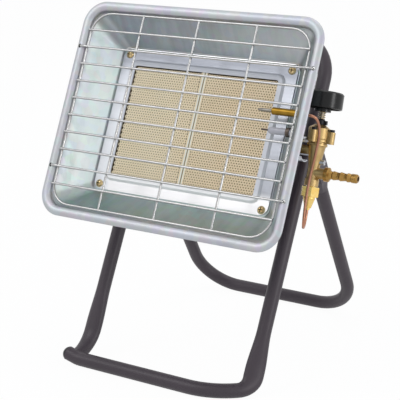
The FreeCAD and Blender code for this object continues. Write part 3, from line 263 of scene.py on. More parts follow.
# The hook holes are painted nearly black: a painted shade.
hole = near_in_quarters(tree, spot, hook_place, hook_hole_r)
shaded = add(tree, "ShaderNodeMix", {0: hole, 6: grain, 7: "#161618"}, data_type="RGBA").outputs[2]
tree.links.new(shaded, shader.inputs["Base Color"])
dull = add(tree, "ShaderNodeMapRange", {"Value": smear, "To Min": 0.34, "To Max": 0.50}).outputs[0]
satin = add(tree, "ShaderNodeMix", {0: deep, 2: 0.52, 3: dull}, data_type="FLOAT").outputs[0]
tree.links.new(satin, shader.inputs["Roughness"])
bump = add(tree, "ShaderNodeBump", {"Height": patch, "Strength": 0.25, "Distance": 0.004})
tree.links.new(bump.outputs["Normal"], shader.inputs["Normal"])
print(galvanised.name, "has", len(tree.nodes), "nodes")

# %% [markdown]
# ## Aluminised sheet round the burner
# The burner's frame and box are aluminised steel, which keeps its silver in the heat. Along the top it is
# painted darker, a painted shade; below, it is painted nearly white, a painted light, and the left ledge
# gets paler on the way down. Rolling left fine smears along the sheet.

# %% Burner sheet: tones by place
aluminised, tree, shader = start_material("aluminised_sheet", 0.30, 1.0)
spot = on_head(tree)
axes = add(tree, "ShaderNodeSeparateXYZ", {0: spot}).outputs
stretch = (1 / 40, 1 / 40, 1 / 5)
along = add(tree, "ShaderNodeVectorMath", {0: spot, 1: stretch}, operation="MULTIPLY").outputs[0]
smear = add(tree, "ShaderNodeTexNoise", {"Vector": along, "Scale": 1.0, "Detail": 3}).outputs["Fac"]
clean = add(tree, "ShaderNodeMix", {0: smear, 6: "#8A8D94", 7: "#A4A7AF"}, data_type="RGBA").outputs[2]
top_shade_tone = add(tree, "ShaderNodeMix", {0: smear, 6: "#6C6F77", 7: "#888B92"}, data_type="RGBA").outputs[2]
ramps = {}
for name, axis, start, end in (("top_shade", "Z", 58.0, 68.0), ("low_light", "Z", -58.0, -68.0),
                               ("left", "X", -90.0, -94.0), ("down", "Z", 70.0, -58.0)):
    ramps[name] = add(tree, "ShaderNodeMapRange", {"Value": axes[axis], "From Min": start,
                                                   "From Max": end}).outputs[0]
ledge = add(tree, "ShaderNodeMath", {0: ramps["left"], 1: ramps["down"]}, operation="MULTIPLY").outputs[0]
tone = clean
# Along the top the tone is painted shade, and along the bottom it is painted light.
for share, color in ((ramps["top_shade"], top_shade_tone), (ramps["low_light"], "#E2E2E4"), (ledge, "#D6D9DE")):
    tone = add(tree, "ShaderNodeMix", {0: share, 6: tone, 7: color}, data_type="RGBA").outputs[2]
print(aluminised.name, "has ramps", ", ".join(ramps))

# %% [markdown]
# ## The frame's raised lip
# The lip stands 2.5 mm proud of the frame's plate and takes the heat first, so a thin pale oxide covers it:
# rougher than the plate, and less of a mirror. It is told from the plate by its depth alone.

# %% Burner sheet: raised lip
lip_middle = 37.475
lip_end = 1.29
lip_full = 1.2
depth = add(tree, "ShaderNodeMath", {0: axes["Y"], 1: lip_middle}, operation="SUBTRACT").outputs[0]
depth = add(tree, "ShaderNodeMath", {0: depth}, operation="ABSOLUTE").outputs[0]
step = add(tree, "ShaderNodeMapRange", {"Value": depth, "From Min": lip_end, "From Max": lip_full,
                                        "To Max": 0.8}).outputs[0]
# Over its pale oxide, the lip is painted greyer along the top, a painted shade, and white along the bottom,
# a painted light.
lip = add(tree, "ShaderNodeMix", {0: ramps["top_shade"], 6: "#E8EAF0", 7: "#C8CBD2"}, data_type="RGBA").outputs[2]
lip = add(tree, "ShaderNodeMix", {0: ramps["low_light"], 6: lip, 7: "#FFFFFF"}, data_type="RGBA").outputs[2]
tone = add(tree, "ShaderNodeMix", {0: step, 6: tone, 7: lip}, data_type="RGBA").outputs[2]
tree.links.new(tone, shader.inputs["Base Color"])
for socket, plate, oxide in (("Roughness", 0.30, 0.75), ("Metallic", 1.0, 0.3)):
    drift = add(tree, "ShaderNodeMapRange", {"Value": step, "To Min": plate, "To Max": oxide}).outputs[0]
    tree.links.new(drift, shader.inputs[socket])
print(aluminised.name, "has", len(tree.nodes), "nodes")

# %% [markdown]
# ## Yellow zinc passivate
# The burner's four screws are zinc plated and passivated, a glossy film that shifts between straw and
# brown. The crossed slots in their heads are small and deep, so they are painted dark, a painted shade. The
# screws lie alike in all four quarters, so one folded place serves for all.

# %% Screw passivate
screw_place = (103.2, 0, 76.6)
slot_r = 3.4
passivate, tree, shader = start_material("yellow_zinc_passivate", 0.22, 1.0)
mm = in_mm(tree)
film = add(tree, "ShaderNodeTexNoise", {"Vector": mm, "Scale": 1 / 3.5, "Detail": 2}).outputs["Fac"]
tone = add(tree, "ShaderNodeMix", {0: film, 6: "#A88450", 7: "#ECDCB0"}, data_type="RGBA").outputs[2]
spot = on_head(tree)
near = near_in_quarters(tree, spot, screw_place, slot_r)
depth = add(tree, "ShaderNodeSeparateXYZ", {0: spot}).outputs["Y"]
sunk = add(tree, "ShaderNodeMapRange", {"Value": depth, "From Min": 36.7, "From Max": 37.2}).outputs[0]
# The slots are painted dark brown: a painted shade.
slot_painted_shade = add(tree, "ShaderNodeMath", {0: near, 1: sunk}, operation="MULTIPLY").outputs[0]
tone = add(tree, "ShaderNodeMix", {0: slot_painted_shade, 6: tone, 7: "#2A2012"}, data_type="RGBA").outputs[2]
tree.links.new(tone, shader.inputs["Base Color"])
print("made", passivate.name)

# %% [markdown]
# ## A recipe for plainer finishes
# The other finishes share one recipe. A flat colour would look like plastic, so slow noise carries the
# colour between two tones, in patches of a real size. Where casting, moulding or spraying left a grain, a
# finer noise gives it as a bump.

# %% Two tones and a grain


def two_tone(name, roughness, metallic, patch, detail, dark, pale):
    """A finish that noise carries from one tone to another, in patches of so many millimetres."""
    material, tree, shader = start_material(name, roughness, metallic)
    cloud = add(tree, "ShaderNodeTexNoise", {"Vector": in_mm(tree), "Scale": 1 / patch, "Detail": detail})
    tone = add(tree, "ShaderNodeMix", {0: cloud.outputs["Fac"], 6: dark, 7: pale}, data_type="RGBA")
    tree.links.new(tone.outputs[2], shader.inputs["Base Color"])
    return material


def roughen(material, grain, strength, relief, detail=2):
    """A grain of so many millimetres on a finish, as a bump; relief is in metres."""
    tree = material.node_tree
    fine = add(tree, "ShaderNodeTexNoise", {"Vector": in_mm(tree), "Scale": 1 / grain, "Detail": detail})
    bump = add(tree, "ShaderNodeBump", {"Height": fine.outputs["Fac"], "Strength": strength,
                                        "Distance": relief})
    tree.links.new(bump.outputs["Normal"], tree.nodes["Principled BSDF"].inputs["Normal"])


# The stand's tube is sprayed with dark satin enamel: a soft, broad highlight and a fine orange peel.
enamel = two_tone("satin_enamel", 0.46, 0.0, 45, 4, "#2C242B", "#3E343D")
roughen(enamel, 1.6, 0.12, 0.0002)
print("made", enamel.name)

# %% [markdown]
# ## Plated and heated steel
# Wire, brackets and fasteners are plated, and differ mostly in brightness. The steel that stands in the
# flame, and the oiled black screws of the tap, are dark.

# %% Wire and steels
# Nickel over drawn wire is smooth, bright and without a tint.
nickel = two_tone("nickel_plated_wire", 0.22, 1.0, 14, 3, "#9F9FA0", "#BFBFBF")
# Zinc is cooler and softer, and small parts tumbled in the bath look mottled.
zinc = two_tone("bright_zinc_plate", 0.33, 1.0, 4, 2, "#AEB1B8", "#D0D2D8")
# Bare drawn steel is greyer than plate.
spring_steel = two_tone("drawn_spring_steel", 0.30, 1.0, 2, 2, "#6E6C68", "#A19E97")
# The flame leaves a brown scale that breaks the gloss.
heat_steel = two_tone("heat_darkened_steel", 0.45, 1.0, 3, 3, "#3A3230", "#7A6E66")
# Black oxide is thin and oiled, so the steel still shines through a little.
black_oxide = two_tone("black_oxide_steel", 0.42, 0.6, 2, 3, "#141416", "#2B2B2E")
print("made", nickel.name, zinc.name, spring_steel.name, heat_steel.name, black_oxide.name)

# %% [markdown]
# ## Brass and copper
# The tap is a brass casting, and the nut and gland were turned from bar, which left tool rings. Real rings
# are far too fine to see, and are drawn 5 mm apart so that they show. The lead is copper tube, brown in
# places from heat.

# %% Brass and copper
# Tumbling leaves a dull skin with small pits.
cast_brass = two_tone("tumbled_cast_brass", 0.42, 1.0, 9, 4, "#9E8250", "#D2B886")
roughen(cast_brass, 0.9, 0.25, 0.0003)
# A turned face is bright. The wave's bands lie 2 pi / 20 apart at scale 1, and so 5 mm apart at this one.
turned_brass = two_tone("turned_bar_brass", 0.25, 1.0, 6, 2, "#DCB052", "#F6E09C")
tree = turned_brass.node_tree
ring_scale = 1 / 16
rings = add(tree, "ShaderNodeTexWave", {"Vector": in_mm(tree), "Scale": ring_scale},
            bands_direction="Z").outputs["Fac"]
bump = add(tree, "ShaderNodeBump", {"Height": rings, "Strength": 0.08, "Distance": 0.0001})
tree.links.new(bump.outputs["Normal"], tree.nodes["Principled BSDF"].inputs["Normal"])
# The hose nipple is machined and handled, so it has browned.
barb_brass = two_tone("machined_hose_brass", 0.28, 1.0, 6, 3, "#80602E", "#BC9658")
# The sleeve stands near the flame and has taken a deep gold.
sleeve_brass = two_tone("heat_coloured_brass", 0.32, 1.0, 7, 3, "#7C5F20", "#AA8538")
# Soft copper keeps a satin shine between its brown patches.
copper = two_tone("annealed_copper_tube", 0.34, 1.0, 16, 4, "#8A5A43", "#CA967E")
print("made", cast_brass.name, turned_brass.name, barb_brass.name, sleeve_brass.name, copper.name)

# %% [markdown]
# ## Fired ceramic
# The plaques are cordierite, a matt, sandy ceramic that the flame bakes to beige, a shade deeper to the
# right. In the holes, and in the pocket behind them, the colour is painted down to brown with depth: a
# painted shade.

# %% Cordierite
tile_face = 37.5
cordierite, tree, shader = start_material("fired_cordierite", 0.92)
shader.inputs["Specular IOR Level"].default_value = 0.2
axes = add(tree, "ShaderNodeSeparateXYZ", {0: on_head(tree)}).outputs
mm = in_mm(tree)
sand = add(tree, "ShaderNodeTexNoise", {"Vector": mm, "Scale": 1 / 22, "Detail": 5}).outputs["Fac"]
tone = add(tree, "ShaderNodeMix", {0: sand, 6: "#F0DFBB", 7: "#F7EACE"}, data_type="RGBA").outputs[2]
baked = add(tree, "ShaderNodeMapRange", {"Value": axes["X"], "From Min": -40.0,
                                         "From Max": 40.0}).outputs[0]
tone = add(tree, "ShaderNodeMix", {0: baked, 6: tone, 7: "#FBF4EE"}, data_type="RGBA",
           blend_type="MULTIPLY").outputs[2]
# Deeper in the holes and the pocket the colour is painted darker: painted shade.
for start, end, color in ((0.05, 0.7, "#94804F"), (1.51, 1.59, "#54462F")):
    hole_painted_shade = add(tree, "ShaderNodeMapRange", {"Value": axes["Y"], "From Min": tile_face + start,
                                              "From Max": tile_face + end}).outputs[0]
    tone = add(tree, "ShaderNodeMix", {0: hole_painted_shade, 6: tone, 7: color}, data_type="RGBA").outputs[2]
tree.links.new(tone, shader.inputs["Base Color"])
print("made", cordierite.name)

# %% [markdown]
# ## The joint between the plaques
# The fire cement is paler than the plaques. It was pressed in from both sides and shrank as it dried, which
# left a dark seam. A ramp on the distance from the seam draws it.

# %% Cement
seam_x = 0.2
cement, tree, shader = start_material("fire_cement", 0.9)
sand = add(tree, "ShaderNodeTexNoise", {"Vector": in_mm(tree), "Scale": 1 / 4, "Detail": 4}).outputs["Fac"]
tone = add(tree, "ShaderNodeMix", {0: sand, 6: "#F0EEDD", 7: "#F8F7EC"}, data_type="RGBA").outputs[2]
across = add(tree, "ShaderNodeSeparateXYZ", {0: on_head(tree)}).outputs["X"]
across = add(tree, "ShaderNodeMath", {0: across, 1: seam_x}, operation="SUBTRACT").outputs[0]
across = add(tree, "ShaderNodeMath", {0: across}, operation="ABSOLUTE").outputs[0]
seam = add(tree, "ShaderNodeMapRange", {"Value": across, "From Min": 0.9, "From Max": 0.5}).outputs[0]
tone = add(tree, "ShaderNodeMix", {0: seam, 6: tone, 7: "#8C7E58"}, data_type="RGBA").outputs[2]
tree.links.new(tone, shader.inputs["Base Color"])
print("made", cement.name)

# %% [markdown]
# ## Felt, porcelain and plastic
# The gasket is ceramic fibre felt, the electrode's insulator is glazed porcelain, and the knob is a black
# phenolic moulding. All three take the plain recipe.

# %% Felt, porcelain and plastic
# Loose fibres, drawn as tufts because single ones are too fine to show, give felt a dry, broken surface.
fibre = two_tone("ceramic_fibre_felt", 0.95, 0.0, 1.5, 5, "#C9C4B6", "#EDEAE0")
roughen(fibre, 1.5, 0.4, 0.0005, detail=5)
# The glaze is smooth over a greyish body, so its highlights are small and sharp.
porcelain = two_tone("glazed_porcelain", 0.18, 0.0, 5, 3, "#A9A8B0", "#C2C1C9")
# The mould leaves a satin skin and one soft highlight. Its grain is drawn coarser than it is, to show.
phenolic = two_tone("black_phenolic", 0.27, 0.0, 10, 3, "#08090A", "#141517")
phenolic.node_tree.nodes["Principled BSDF"].inputs["Specular IOR Level"].default_value = 0.3
roughen(phenolic, 0.7, 0.12, 0.0002)
print("made", fibre.name, porcelain.name, phenolic.name)

# %% [markdown]
# ## Each node gets its finish
# Most solids are already the shape of the real piece, so they stay, and only their material changes. A
# table of finish and pieces is easier to check against the heater than a line for each.

# %% Finishes on the frame's own nodes
finishes = {
    enamel: ["front_frame", "rear_leg"],
    galvanised: ["reflector"],
    aluminised: ["burner_frame", "burner_box", "piezo_bracket"],
    passivate: ["burner_screws"],
    zinc: ["burner_nuts", "bracket_screws", "bracket_bolts", "pivot_bolts", "pivot_washers", "pivot_nuts",
           "leg_stop_pins", "probe_nuts", "flow_screw", "mixing_tube", "head_bracket_left",
           "head_bracket_right", "probe_bracket"],
    cement: ["tile_cement_joint"],
    fibre: ["tile_gasket"],
    cast_brass: ["valve_body", "valve_bonnet"],
    barb_brass: ["hose_barb"],
    turned_brass: ["cock_plug", "injector", "injector_holder", "magnet_nut", "lead_gland", "magnet_unit"],
    sleeve_brass: ["thermocouple_sleeve"],
    heat_steel: ["electrode_wire", "electrode_collar"],
    spring_steel: ["spindle", "push_rod", "thermocouple_tip"],
    black_oxide: ["bonnet_screws", "spindle_collar"],
    porcelain: ["electrode_insulator"],
    phenolic: ["knob", "foot_cap", "piezo_igniter", "piezo_nut", "piezo_button"],
}
for finish, names in finishes.items():
    for name in names:
        nodes[name].data.materials.clear()
        nodes[name].data.materials.append(finish)
print("finished", sum(len(names) for names in finishes.values()), "nodes")

# %% [markdown]
# ## The creased feet
# The legs were bent up from the foot bar cold, with nothing inside the tube, and the press left it broad
# and flat at each bend. A swept circle can't show that. Each point of the tube is measured from the tube's
# line, which is a straight leg and an arc, and moves out along one direction and in along the other. The
# change swells over the arc and fades along the leg.

# %% How a bend is pressed
lean = math.radians(27.7)
leg_line = Vector((0, math.sin(lean), math.cos(lean)))
line_height = 8.0
fade_start = 6.0
fade_length = 46.0
# A point further from the line than this belongs to another tube.
tube_reach = 1.2 * line_height


def smooth_step(share):
    """A share from 0 to 1, eased at both ends."""
    share = min(1.0, max(0.0, share))
    return share * share * (3 - 2 * share)


def pressed(spot, corner, to_bar, bend_r, in_plane, across):
    """Where a point of the tube goes when the bend at a corner is pressed.

    It leaves the tube's line by shares of its distance from it, in the bend's plane and across that plane.
    """
    turn = math.pi - leg_line.angle(to_bar)
    normal = leg_line.cross(to_bar).normalized()
    middle = corner + (leg_line + to_bar).normalized() * bend_r / math.cos(turn / 2)
    up = (spot - middle).dot(leg_line)
    if up > 0:
        base = corner + leg_line * (spot - corner).dot(leg_line)
        along = bend_r * turn + up
    else:
        arm = spot - middle
        arm -= normal * arm.dot(normal)
        base = middle + arm.normalized() * bend_r
        to_leg = (corner - middle) - leg_line * (corner - middle).dot(leg_line)
        along = bend_r * max(0.0, turn - arm.angle(to_leg))
    if (spot - base).length > tube_reach:
        return spot
    faded = (along - bend_r * turn - fade_start) / fade_length
    swell = smooth_step(along / (bend_r * turn)) * smooth_step(1.0 - faded)
    sideways = normal * (spot - base).dot(normal)
    return spot + ((spot - base - sideways) * in_plane + sideways * across) * swell


print("a crease fades over", fade_length, "mm of the leg")

# %% [markdown]
# ## Pressing a copy of the stand
# The frame's own mesh is never changed, so a copy of it is pressed. A straight tube has points only at its
# ends, so planes cut the copy every 3 mm near the feet, which gives it points to move.

# %% Creased feet


def put(name, data):
    """A new object in the scene, at the origin."""
    made = bpy.data.objects.new(name, data)
    bpy.context.scene.collection.objects.link(made)
    return made


stand_middle = -19.2
half_stance = 107.1
foot_y = -125.55
right_corner = Vector((stand_middle + half_stance, foot_y, line_height))
left_corner = Vector((stand_middle - half_stance, foot_y, line_height))
# Each foot has its corner, the way to its bar, its bend's radius, and the shares in the plane and across.
right_foot = (right_corner, Vector((-33.4, -28.3, 0)).normalized(), 19.0, 0.40, -0.36)
left_foot = (left_corner, Vector((0, -1, 0)), 41.0, -0.15, 0.30)
shell = bmesh.new()
shell.from_mesh(nodes["front_frame"].data)
bmesh.ops.remove_doubles(shell, verts=shell.verts, dist=1e-6)
cut_heights = range(8, 80, 3)
for height in cut_heights:
    bmesh.ops.bisect_plane(shell, geom=shell.verts[:] + shell.edges[:] + shell.faces[:], dist=1e-7,
                           plane_co=(right_corner + leg_line * height) * MM, plane_no=leg_line)
most = 0.0
for vert in shell.verts:
    spot = vert.co / MM
    moved = pressed(spot, *(right_foot if spot.x > stand_middle else left_foot))
    most = max(most, (moved - spot).length)
    vert.co = moved * MM
foot_mesh = bpy.data.meshes.new("creased_front_frame")
shell.to_mesh(foot_mesh)
shell.free()
foot_mesh.materials.append(enamel)
foot_mesh.shade_smooth()
foot_mesh.set_sharp_from_angle(angle=math.radians(35))
creased = put("creased_front_frame", foot_mesh)
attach(creased, "base")
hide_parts("front_frame")
print(creased.name, len(foot_mesh.polygons), "faces, moved by up to", round(most, 1), "mm")

# %% [markdown]
# ## Starting and ending a tree
# A piece that repeats is a small mesh and a rule, and Geometry Nodes hold the rule. Each tree has named
# inputs for its sizes. It ends by making its instances real, because the export drops instances.

# %% Tree helpers


def new_tree(name, sockets):
    """A geometry tree with named inputs; returns the tree and its input outlets."""
    tree = bpy.data.node_groups.new(name, "GeometryNodeTree")
    tree.interface.new_socket("Geometry", in_out="INPUT", socket_type="NodeSocketGeometry")
    for label, kind in sockets.items():
        tree.interface.new_socket(label, in_out="INPUT", socket_type="NodeSocket" + kind)
    tree.interface.new_socket("Material", in_out="INPUT", socket_type="NodeSocketMaterial")
    tree.interface.new_socket("Geometry", in_out="OUTPUT", socket_type="NodeSocketGeometry")
    return tree, add(tree, "NodeGroupInput").outputs


def end_tree(tree, geometry, material):
    """Realise the instances, shade them smooth and give them their material."""
    real = add(tree, "GeometryNodeRealizeInstances", {0: geometry}).outputs[0]
    smooth = add(tree, "GeometryNodeSetShadeSmooth", {0: real}).outputs[0]
    dressed = add(tree, "GeometryNodeSetMaterial", {0: smooth, "Material": material}).outputs[0]
    add(tree, "NodeGroupOutput", {0: dressed})
    print("tree", tree.name, "has", len(tree.nodes), "nodes")


print("trees can be made")

# %% [markdown]
# ## Growing a piece
# A tree starts from a line or a small mesh. The second function below puts the tree on it, sets its inputs
# by their identifiers, takes the result as a plain mesh and removes the modifier again, so that what is
# left is an ordinary piece with its place in its vertices.

# %% Line, grow and join


def line_mesh(name, points, closed=False):
    """A mesh of points joined by edges, in order."""
    mesh = bpy.data.meshes.new(name)
    edges = [(k, k + 1) for k in range(len(points) - 1)]
    mesh.from_pydata(points, edges + ([(len(points) - 1, 0)] if closed else []), [])
    return mesh


def grow(name, tree, mesh, material, place, **values):
    """Run a tree on a mesh and keep the result as a plain mesh in the frame."""
    piece = put(name, mesh)
    modifier = piece.modifiers.new(tree.name, "NODES")
    modifier.node_group = tree
    sockets = {item.name: item.identifier for item in tree.interface.items_tree if item.in_out == "INPUT"}
    modifier[sockets["Material"]] = material
    for label, value in values.items():
        modifier[sockets[label.replace("_", " ")]] = value
    bpy.context.view_layer.update()
    grown = bpy.data.meshes.new_from_object(piece.evaluated_get(bpy.context.evaluated_depsgraph_get()))
    piece.modifiers.remove(modifier)
    grown.transform(place)
    grown.materials.clear()
    grown.materials.append(material)
    piece.data = grown
    return piece


def join(name, pieces):
    """One piece from several that move together."""
    whole = bmesh.new()
    for piece in pieces:
        whole.from_mesh(piece.data)
    mesh = pieces[0].data.copy()
    whole.to_mesh(mesh)
    whole.free()
    for piece in pieces:
        bpy.data.objects.remove(piece)
    return put(name, mesh)


print("pieces can be grown")

# %% [markdown]
# ## A tree for bent wire
# One tree serves every wire of the guard: a line becomes a curve, its corners are filleted to the bend
# radius, a round section runs along it, and the wire is repeated in rows about the middle.

# %% Wire tree


def round_wire(tree, line, diameter, sides):
    """A round section along a curve, with closed ends."""
    half = add(tree, "ShaderNodeMath", {0: diameter, 1: 0.5}, operation="MULTIPLY").outputs[0]
    circle = {"Resolution": sides, "Radius": half}
    section = add(tree, "GeometryNodeCurvePrimitiveCircle", circle).outputs[0]
    run = {"Curve": line, "Profile Curve": section, "Fill Caps": True}
    return add(tree, "GeometryNodeCurveToMesh", run).outputs[0]


wires, given = new_tree("Bent wires in rows", {"Rows": "Int", "Pitch": "Float", "Wire diameter": "Float",
                                               "Bend radius": "Float"})
line = add(wires, "GeometryNodeMeshToCurve", {0: given["Geometry"]}).outputs[0]
bent = add(wires, "GeometryNodeFilletCurve", {"Curve": line, "Count": 6, "Radius": given["Bend radius"],
                                              "Limit Radius": True}, mode="POLY").outputs[0]
wire = round_wire(wires, bent, given["Wire diameter"], 12)
last = add(wires, "ShaderNodeMath", {0: given["Rows"], 1: 1.0}, operation="SUBTRACT").outputs[0]
span = add(wires, "ShaderNodeMath", {0: last, 1: given["Pitch"]}, operation="MULTIPLY").outputs[0]
low = add(wires, "ShaderNodeMath", {0: span, 1: -0.5}, operation="MULTIPLY").outputs[0]
start = add(wires, "ShaderNodeCombineXYZ", {"Z": low}).outputs[0]
step = add(wires, "ShaderNodeCombineXYZ", {"Z": given["Pitch"]}).outputs[0]
rows = add(wires, "GeometryNodeMeshLine", {"Count": given["Rows"], "Start Location": start,
                                           "Offset": step}).outputs[0]
placed = add(wires, "GeometryNodeInstanceOnPoints", {"Points": rows, "Instance": wire}).outputs[0]
end_tree(wires, placed, given["Material"])

# %% [markdown]
# ## The guard's rim and uprights
# The guard is bright wire, 2.5 mm thick. Its rim is one closed loop with bent corners, and three uprights
# stand in the rim's plane.

# %% Rim and uprights
wire_d = 2.5
half_x = 136.5
half_z = 111.2
upright_x = (-71, 0, 71)
square = ((-1, -1), (1, -1), (1, 1), (-1, 1))
corners = [(x * half_x, 0, z * half_z) for x, z in square]
rim = grow("guard_rim_wire", wires, line_mesh("rim line", corners, True), nickel, HEAD,
           Rows=1, Pitch=1.0, Wire_diameter=wire_d, Bend_radius=24.0)
reach_z = half_z - wire_d / 2
uprights = []
for x in upright_x:
    upright = line_mesh("upright line", [(x, 0, -reach_z), (x, 0, reach_z)])
    uprights.append(grow("upright", wires, upright, nickel, HEAD,
                         Rows=1, Pitch=1.0, Wire_diameter=wire_d, Bend_radius=1.0))
uprights = join("guard_upright_wires", uprights)
print("guard", 2 * half_x, "by", 2 * half_z, "mm with", len(upright_x), "uprights")

# %% [markdown]
# ## The guard's cross wires
# Ten cross wires lie over the uprights, 20 mm apart. Two of them are longer, step forward over the dish's
# rim and hook into it. The rows are symmetrical about the middle, so three runs of the tree make all ten.

# %% Cross wires
cross_pitch = 20.0
hooked_z = 70.0
outer_z = 90.0
over_rim = -3.65
reach_x = half_x + wire_d / 2
straight = [(-reach_x, -wire_d, 0), (reach_x, -wire_d, 0)]
# A hook's end goes 5 mm back into its hole, and the wire then runs over the rim and down to the guard.
hook = [(144.5, over_rim + 5.0, 0), (144.5, over_rim, 0), (138.0, over_rim, 0), (131.0, -wire_d, 0)]
hooked = hook + [(-x, y, z) for x, y, z in reversed(hook)]
crosses = []
for points, count, gap, bend_r in ((straight, 6, cross_pitch, 1.0), (straight, 2, 2 * outer_z, 1.0),
                                   (hooked, 2, 2 * hooked_z, 2.5)):
    crosses.append(grow("cross", wires, line_mesh("cross line", points), nickel, HEAD,
                        Rows=count, Pitch=gap, Wire_diameter=wire_d, Bend_radius=bend_r))
crosses = join("guard_cross_wires", crosses)
for piece, node in ((rim, "grille_rim_wire"), (uprights, "grille_upright_wires"),
                    (crosses, "grille_cross_wires")):
    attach(piece, "base")
    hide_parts(node)
    print(piece.name, len(piece.data.polygons), "faces")

# %% [markdown]
# ## Spot welds
# Where two wires cross, the welder squeezed them together and a small flattened bead was left. The beads
# are one tree: a small ball, squashed along the line between the wires, on each crossing point. The hooked
# wires pass in front of the rim and have no weld on it.

# %% Weld beads
welds, given = new_tree("Weld beads", {"Bead radius": "Float"})
ball = add(welds, "GeometryNodeMeshIcoSphere", {"Radius": given["Bead radius"],
                                                "Subdivisions": 2}).outputs[0]
flat = add(welds, "GeometryNodeTransform", {"Geometry": ball, "Scale": (1.0, 0.75, 1.0)}).outputs[0]
beads = add(welds, "GeometryNodeInstanceOnPoints", {"Points": given["Geometry"],
                                                    "Instance": flat}).outputs[0]
end_tree(welds, beads, given["Material"])
crossings = []
for row in range(10):
    z = (row - 4.5) * cross_pitch
    crossings += [(x, -wire_d / 2, z) for x in (-half_x, *upright_x, half_x)
                  if abs(x) < half_x or abs(z) != hooked_z]
crossings += [(x, 0, side * reach_z) for x in upright_x for side in (-1, 1)]
beads = grow("guard_weld_beads", welds, line_mesh("crossings", crossings), nickel, HEAD, Bead_radius=1.55)
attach(beads, "base")
print(len(crossings), "weld beads")

# %% [markdown]
# ## A tree for the perforated field
# Gas comes through thousands of small holes in the tiles and burns on the face. The holes stand on a
# staggered grid, which is two plain grids moved half a step against each other. The tree puts one cell of
# the pattern, which it is given, on every point of both.

# %% Tile tree
field, given = new_tree("Perforated field", {"Columns": "Int", "Rows": "Int", "Pitch": "Float"})
row_share = math.sqrt(3) / 2
rise = add(field, "ShaderNodeMath", {0: given["Pitch"], 1: row_share}, operation="MULTIPLY").outputs[0]
wide = add(field, "ShaderNodeMath", {0: given["Columns"], 1: 1.0}, operation="SUBTRACT").outputs[0]
wide = add(field, "ShaderNodeMath", {0: wide, 1: given["Pitch"]}, operation="MULTIPLY").outputs[0]
tall = add(field, "ShaderNodeMath", {0: given["Rows"], 1: 1.0}, operation="SUBTRACT").outputs[0]
tall = add(field, "ShaderNodeMath", {0: tall, 1: 2.0}, operation="MULTIPLY").outputs[0]
tall = add(field, "ShaderNodeMath", {0: tall, 1: rise}, operation="MULTIPLY").outputs[0]
grid = add(field, "GeometryNodeMeshGrid", {"Size X": wide, "Size Y": tall, "Vertices X": given["Columns"],
                                           "Vertices Y": given["Rows"]}).outputs[0]
both = add(field, "GeometryNodeJoinGeometry")
for side in (1, -1):
    aside = add(field, "ShaderNodeMath", {0: given["Pitch"], 1: side * 0.25},
                operation="MULTIPLY").outputs[0]
    up = add(field, "ShaderNodeMath", {0: rise, 1: side * 0.5}, operation="MULTIPLY").outputs[0]
    place = add(field, "ShaderNodeCombineXYZ", {"X": aside, "Z": up}).outputs[0]
    moved = add(field, "GeometryNodeTransform", {"Geometry": grid, "Translation": place,
                                                 "Rotation": (math.pi / 2, 0, 0)}).outputs[0]
    field.links.new(moved, both.inputs[0])
cells = add(field, "GeometryNodeInstanceOnPoints", {"Points": both.outputs[0],
                                                    "Instance": given["Geometry"]}).outputs[0]
end_tree(field, cells, given["Material"])

# %% [markdown]
# ## One hole and one body
# A hole could be a dark dot in the material, but then it is flat from the side. So each is a six-sided
# cell with a hole that goes 1.5 mm in, and the cells lie over a block with a shallow pocket, which leaves
# room for the holes.

# %% Hole cell and plaque body


def hole_cell(pitch, hole_d, depth):
    """Six-sided cell in the x, z plane with a hole that goes back along y."""
    mesh = bpy.data.meshes.new("hole cell")
    turns = [math.radians(60 * k + 30) for k in range(6)]
    outer = [(pitch / math.sqrt(3) * math.cos(a), 0, pitch / math.sqrt(3) * math.sin(a)) for a in turns]
    inner = [(hole_d / 2 * math.cos(a), 0, hole_d / 2 * math.sin(a)) for a in turns]
    back = [(x, depth, z) for x, y, z in inner]
    faces = []
    for k in range(6):
        n = (k + 1) % 6
        faces += [(k, n, 6 + n, 6 + k), (6 + k, 6 + n, 12 + n, 12 + k)]
    mesh.from_pydata(outer + inner + back, [], faces + [(12, 13, 14, 15, 16, 17)])
    return mesh


def pocket_block(name, low, high, left, right, border, depth):
    """Plaque body: a block whose front has a shallow pocket, with plain borders at its left and right."""
    (x0, y0, z0), (x1, y1, z1) = low, high
    mesh = bpy.data.meshes.new(name)
    ring = [(x0, z0), (x1, z0), (x1, z1), (x0, z1)]
    inset = [(x0 + left, z0 + border), (x1 - right, z0 + border), (x1 - right, z1 - border),
             (x0 + left, z1 - border)]
    points = [(x, y1, z) for x, z in ring] + [(x, y0, z) for x, z in ring]
    points += [(x, y0, z) for x, z in inset] + [(x, y0 + depth, z) for x, z in inset]
    faces = [(0, 1, 2, 3), (12, 13, 14, 15)]
    for k in range(4):
        n = (k + 1) % 4
        faces += [(k, n, 4 + n, 4 + k), (4 + k, 4 + n, 8 + n, 8 + k), (8 + k, 8 + n, 12 + n, 12 + k)]
    mesh.from_pydata(points, [], faces)
    return mesh


pitch = 3.15
hole_d = 1.65
hole_depth = 1.5
cell = hole_cell(pitch, hole_d, hole_depth)
print("a cell of", len(cell.polygons), "faces for a hole of", hole_d, "mm")

# %% [markdown]
# ## The ceramic tiles
# Real holes are about 1.2 mm wide on a 1.8 mm pitch, too fine for the picture, so they are drawn 1.65 mm
# wide on a 3.15 mm pitch, which shows. The two plaques stand side by side, and a plain rib is left along
# the cement joint. Fired ceramic has crisp edges, so the faces are shaded flat.

# %% Two tiles
border = 0.4
rib = 0.7
strip = rib + (pitch - hole_d) / 2
half_joint = 2.5
tile_middle = 48.5
half_wide = 46
half_tall = 66
tile_back = tile_face + 13.0
